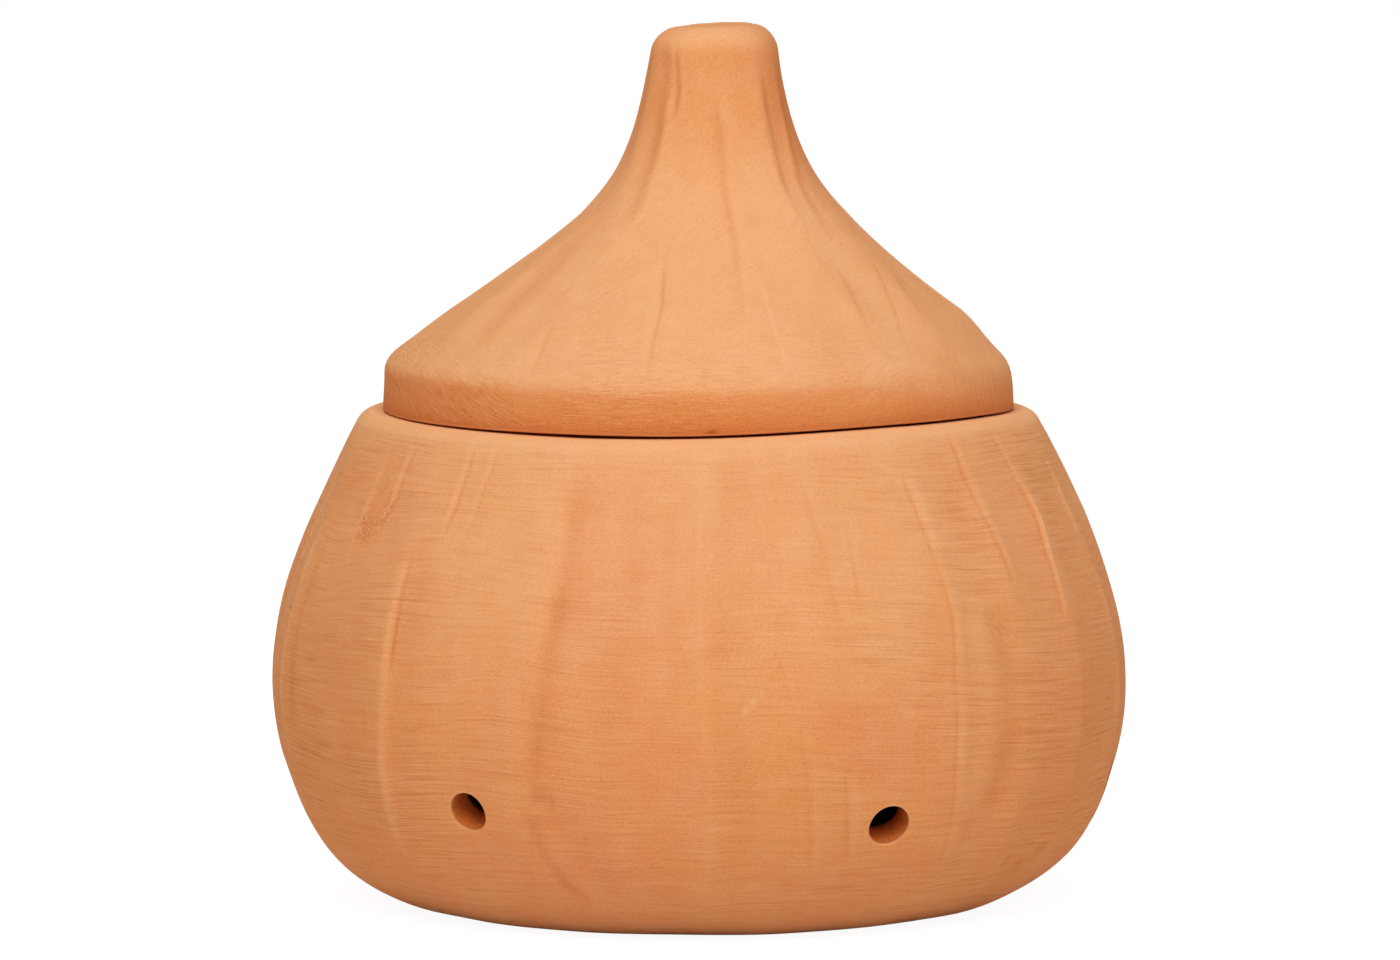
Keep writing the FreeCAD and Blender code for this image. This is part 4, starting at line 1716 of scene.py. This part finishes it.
@dataclass(frozen=True)
class Terracotta:
    """Unglazed fired clay: brushed round the pot, pale above with dusting and painted light, deeper in
    colour where bare and in painted shade.
    """

    name: str = "terracotta"
    ochre: Colour = linear(234, 154, 89)
    salmon: Colour = linear(233, 148, 89)
    # pale colour for dusting, light brush lines and grain, and for painted light and painted highlights
    dust_and_painted_light: Colour = linear(243, 187, 136)
    # bare colour for undusted clay, also used for painted shade on the flanks and in creases
    bare: Colour = linear(226, 135, 72)
    # colour of the vents' cut clay, partly painted shade in the bores
    cut: Colour = linear(226, 118, 42)
    # deep colour for dark brush lines, grain and pits, and for painted shade
    deep: Colour = linear(168, 76, 22)
    roughness: float = 0.9
    specular: float = 0.14
    grain_scale: float = 4200.0
    torn_scale: float = 2200.0
    tooth_depth: float = 0.00013
    line_pitch: float = 0.4
    line_length: float = 22.0
    stroke_length: float = 2.5
    slants: tuple[tuple[str, float], ...] = (("falling", 0.45), ("rising", -1.0), ("upright", 4.0))

    def material(self) -> bpy.types.Material:
        """The clay's material.

        Returns:
            The material.
        """
        material = bpy.data.materials.new(self.name)
        recipe = Recipe(material)
        place = recipe.node("TexCoord").outputs["Object"]
        clay = FineClay(
            fine=self.brush_lines(recipe, place, 1.0),
            finer=self.brush_lines(recipe, place, 0.45),
            grain=recipe.noise(place, self.grain_scale, 2.0, 0.6),
            torn=recipe.noise(place, self.torn_scale, 2.0, 0.6),
        )
        shader = recipe.node("BsdfPrincipled")
        recipe.put(shader.inputs["Base Color"], self.marked(recipe, place, clay))
        recipe.put(shader.inputs["Roughness"], self.roughness)
        recipe.put(shader.inputs["Specular IOR Level"], self.specular)
        recipe.put(shader.inputs["Normal"], self.tooth(recipe, clay))
        recipe.serve("OutputMaterial", shader.outputs[0])
        return material

    def plain_clay(self, recipe: Recipe, place: bpy.types.NodeSocket) -> bpy.types.NodeSocket:
        """Colour of the clay before its marks: patches, pale dusting and painted light on what faces up,
        painted light on what faces down, bare clay.

        Args:
            recipe: the material in the making.
            place: point on the piece.

        Returns:
            The colour.
        """
        patches = recipe.spread(recipe.noise(place, 38.0, 3.0, 0.55), 0.36, 0.64, 0.0, 1.0)
        colour = recipe.blend(patches, self.salmon, self.ochre)
        upward = recipe.node("SeparateXYZ")
        recipe.put(upward.inputs[0], recipe.node("NewGeometry").outputs["Normal"])
        # painted light: faces turned up blend towards the pale colour, as dusting and as light from above
        dust_and_painted_light_share = recipe.spread(upward.outputs[2], -0.15, 0.75, 0.04, 0.54)
        # painted light: faces turned down are made paler, standing in for light thrown up from the floor
        painted_underside_light = recipe.spread(upward.outputs[2], -0.85, -0.45, 0.16, 0.0)
        cloud = recipe.spread(recipe.noise(place, 190.0, 3.0, 0.6), 0.35, 0.65, -0.06, 0.06)
        streak = recipe.node("CombineXYZ")
        recipe.put(streak.inputs[0], recipe.math("DIVIDE", recipe.value("arc"), 5.0))
        recipe.put(streak.inputs[1], recipe.math("DIVIDE", recipe.value("brush"), 45.0))
        streaks = recipe.spread(recipe.noise(streak.outputs[0], 1.0, 2.0), 0.35, 0.65, -0.025, 0.025)
        for more in (painted_underside_light, cloud, streaks):
            dust_and_painted_light_share = recipe.math("ADD", dust_and_painted_light_share, more)
        colour = recipe.blend(recipe.math("MAXIMUM", dust_and_painted_light_share, 0.0), colour, self.dust_and_painted_light)
        colour = recipe.blend(recipe.value("bare"), colour, self.bare)
        return recipe.blend(recipe.math("SUBTRACT", recipe.value("bare"), 1.0), colour, self.cut)

    def marked(
        self, recipe: Recipe, place: bpy.types.NodeSocket, clay: FineClay
    ) -> bpy.types.NodeSocket:
        """Colour of the clay with its brush lines, grain, strokes and torn places.

        Args:
            recipe: the material in the making.
            place: point on the piece.
            clay: the clay's fine structure.

        Returns:
            The finished colour.
        """
        colour = self.plain_clay(recipe, place)
        strength = recipe.spread(recipe.noise(place, 70.0, 2.0), 0.36, 0.64, 0.4, 1.0)
        strength = recipe.math("MULTIPLY", strength, recipe.value("lines"))
        for lines, weight in ((clay.fine, 0.09), (clay.finer, 0.2)):
            dark = recipe.spread(lines, 0.26, 0.5, weight, 0.0)
            light = recipe.spread(lines, 0.5, 0.74, 0.0, weight)
            colour = recipe.blend(recipe.math("MULTIPLY", dark, strength), colour, self.deep)
            colour = recipe.blend(recipe.math("MULTIPLY", light, strength), colour, self.dust_and_painted_light)
        colour = recipe.blend(recipe.spread(clay.grain, 0.5, 0.76, 0.0, 0.26), colour, self.deep)
        colour = recipe.blend(recipe.spread(clay.grain, 0.24, 0.5, 0.36, 0.0), colour, self.dust_and_painted_light)
        pits = recipe.spread(clay.torn, 0.5, 0.62, 0.0, 0.3)
        crumbs = recipe.spread(clay.torn, 0.38, 0.5, 0.6, 0.0)
        colour = recipe.blend(recipe.math("MULTIPLY", recipe.value("grit"), pits), colour, self.deep)
        colour = recipe.blend(recipe.math("MULTIPLY", recipe.value("grit"), crumbs), colour, self.dust_and_painted_light)
        # tone holds stains and also painted highlights and painted shade: above 0 it blends towards the pale
        # colour, below 0 towards the deep colour
        tone = recipe.value("tone")
        pale = recipe.math("MULTIPLY", recipe.math("MAXIMUM", tone, 0.0), 0.5)
        shade = recipe.math("MULTIPLY", recipe.math("MINIMUM", tone, 0.0), -0.4)
        colour = recipe.blend(pale, colour, self.dust_and_painted_light)
        return recipe.blend(shade, colour, self.deep)

    def tooth(self, recipe: Recipe, clay: FineClay) -> bpy.types.NodeSocket:
        """Surface direction over the brush lines, the grain and torn places.

        Args:
            recipe: the material in the making.
            clay: the clay's fine structure.

        Returns:
            The direction, for the shader.
        """
        pits = recipe.math("MULTIPLY", clay.torn, recipe.value("grit"))
        height = recipe.math("MULTIPLY", pits, -1.6)
        for part, weight in ((clay.fine, 0.4), (clay.finer, 0.3), (clay.grain, 0.3)):
            height = recipe.math("ADD", height, recipe.math("MULTIPLY", part, weight))
        bump = recipe.node("Bump")
        recipe.put(bump.inputs["Strength"], 1.0)
        recipe.put(bump.inputs["Distance"], self.tooth_depth)
        recipe.put(bump.inputs["Height"], height)
        return bump.outputs[0]

    def brush_lines(self, recipe: Recipe, place: bpy.types.NodeSocket, finer: float) -> bpy.types.NodeSocket:
        """Fine lines that follow the brush: level, or slanting where the clay is hatched.

        Args:
            recipe: the material in the making.
            place: point on the piece.
            finer: width of the lines, as a share of the usual one.

        Returns:
            The lines' height, from 0 to 1.
        """
        brush, arc = recipe.value("brush"), recipe.value("arc")
        parts = recipe.node("SeparateXYZ")
        recipe.put(parts.inputs[0], place)
        mixed = None
        for name, slant in (("level", 0.0),) + self.slants:
            length = self.stroke_length if slant else self.line_length
            stretch = 1 / (length * MM * finer)
            across = recipe.math("ADD", brush, recipe.math("MULTIPLY", arc, slant))
            lines = recipe.node("CombineXYZ")
            for socket, part in zip(lines.inputs, parts.outputs[:2]):
                recipe.put(socket, recipe.math("MULTIPLY", part, stretch))
            pitch = self.line_pitch * finer * math.hypot(1.0, slant)
            recipe.put(lines.inputs[2], recipe.math("DIVIDE", across, pitch))
            sheet = recipe.noise(lines.outputs[0], 1.0, 1.0, 0.5)
            mixed = recipe.between(recipe.value(name), mixed, sheet) if mixed else sheet
        return mixed


@dataclass(frozen=True)
class Paper:
    """The plain pale floor and the wall behind it."""

    name: str = "paper"
    colour: Colour = (0.9, 0.9, 0.9, 1.0)
    seen_colour: Colour = (0.24, 0.24, 0.24, 1.0)
    own_light: float = 0.935

    def material(self) -> bpy.types.Material:
        """White to the camera, with the shadow that falls on it.

        Returns:
            The material.
        """
        material = bpy.data.materials.new(self.name)
        recipe = Recipe(material)
        plain = recipe.shader("BsdfDiffuse", Color=self.colour)
        shaded = recipe.shader("BsdfDiffuse", Color=self.seen_colour)
        white = recipe.shader("Emission", Strength=self.own_light)
        both = recipe.joined("AddShader", white, shaded)
        recipe.serve("OutputMaterial", recipe.joined("MixShader", recipe.seen(), plain, both))
        return material


# ------------------------------------------------------------------------ studio


@dataclass(frozen=True)
class Lamp:
    """A soft square lamp: where it hangs, the length of its side and its power in watts."""

    name: str
    place: tuple[float, float, float]
    size: float
    power: float


@dataclass
class Studio:
    """The floor, the soft lamps and the camera, in metres."""

    paper: Paper
    lamps: tuple[Lamp, ...] = (
        Lamp("key_lamp", (0.0, -1.45, 1.45), 1.3, 25.4),
        Lamp("top_lamp", (-0.3, 0.0, 1.9), 1.0, 6.8),
        Lamp("left_lamp", (-1.7, -0.25, 0.95), 1.2, 2.3),
        Lamp("right_lamp", (1.7, -0.25, 0.95), 1.2, 3.5),
    )
    lamp_aim: float = 0.06
    floor_size: float = 6.0
    floor_drop: float = 0.0001
    camera_distance: float = 1.700
    camera_height: float = 0.2329
    camera_side: float = 0.00025
    camera_pitch: float = 5.5
    lens: float = 268.2
    film_width: float = 36.0
    sky: float = 0.21

    def build(self) -> None:
        """Make everything round the object."""
        self.lay_floor()
        self.light_sky()
        for lamp in self.lamps:
            self.hang_lamp(lamp)
        self.set_camera()

    def lay_floor(self) -> None:
        """A floor that reaches past the view on every side."""
        half = self.floor_size / 2
        mesh = bpy.data.meshes.new("floor")
        square = ((-half, -half), (half, -half), (half, half), (-half, half))
        corners = [(x, y, -self.floor_drop) for x, y in square]
        mesh.from_pydata(corners, [], [(0, 1, 2, 3)])
        mesh.materials.append(self.paper.material())
        floor = bpy.data.objects.new("floor", mesh)
        bpy.context.scene.collection.objects.link(floor)

    def light_sky(self) -> None:
        """Even light from all round, and a white background to the camera."""
        world = bpy.data.worlds.new("sky")
        recipe = Recipe(world)
        light = recipe.shader("Background", Color=WHITE, Strength=self.sky)
        white = recipe.shader("Background", Color=WHITE, Strength=1.0)
        recipe.serve("OutputWorld", recipe.joined("MixShader", recipe.seen(), light, white))
        bpy.context.scene.world = world

    def hang_lamp(self, lamp: Lamp) -> None:
        """Hang a lamp so that it faces the object.

        Args:
            lamp: the lamp.
        """
        light = bpy.data.lights.new(lamp.name, "AREA")
        light.shape = "SQUARE"
        light.size = lamp.size
        light.energy = lamp.power
        hung = bpy.data.objects.new(lamp.name, light)
        hung.location = lamp.place
        aim = Vector((0, 0, self.lamp_aim)) - hung.location
        hung.rotation_euler = aim.to_track_quat("-Z", "Y").to_euler()
        bpy.context.scene.collection.objects.link(hung)

    def set_camera(self) -> None:
        """The camera, level with the lid and looking slightly down."""
        camera = bpy.data.cameras.new("camera")
        camera.sensor_fit = "HORIZONTAL"
        camera.sensor_width = self.film_width
        camera.lens = self.lens
        camera.clip_start = 0.05
        placed = bpy.data.objects.new("camera", camera)
        placed.location = (self.camera_side, -self.camera_distance, self.camera_height)
        placed.rotation_euler = (math.radians(90 - self.camera_pitch), 0, 0)
        bpy.context.scene.collection.objects.link(placed)
        bpy.context.scene.camera = placed


def main() -> None:
    """Build the studio, the pot and the lid."""
    logging.basicConfig(level=logging.INFO, format="%(name)s: %(message)s")
    bpy.context.scene.view_settings.view_transform = "Standard"
    Studio(Paper()).build()
    pot_clay = Terracotta()
    lid_clay = Terracotta("lid_terracotta", line_pitch=0.42, line_length=6.0, stroke_length=4.5)
    for piece in (Pot("pot", "pot", pot_clay), Lid("lid", "lid", lid_clay)):
        piece.dress(piece.mesh())


if __name__ == "__main__":
    main()
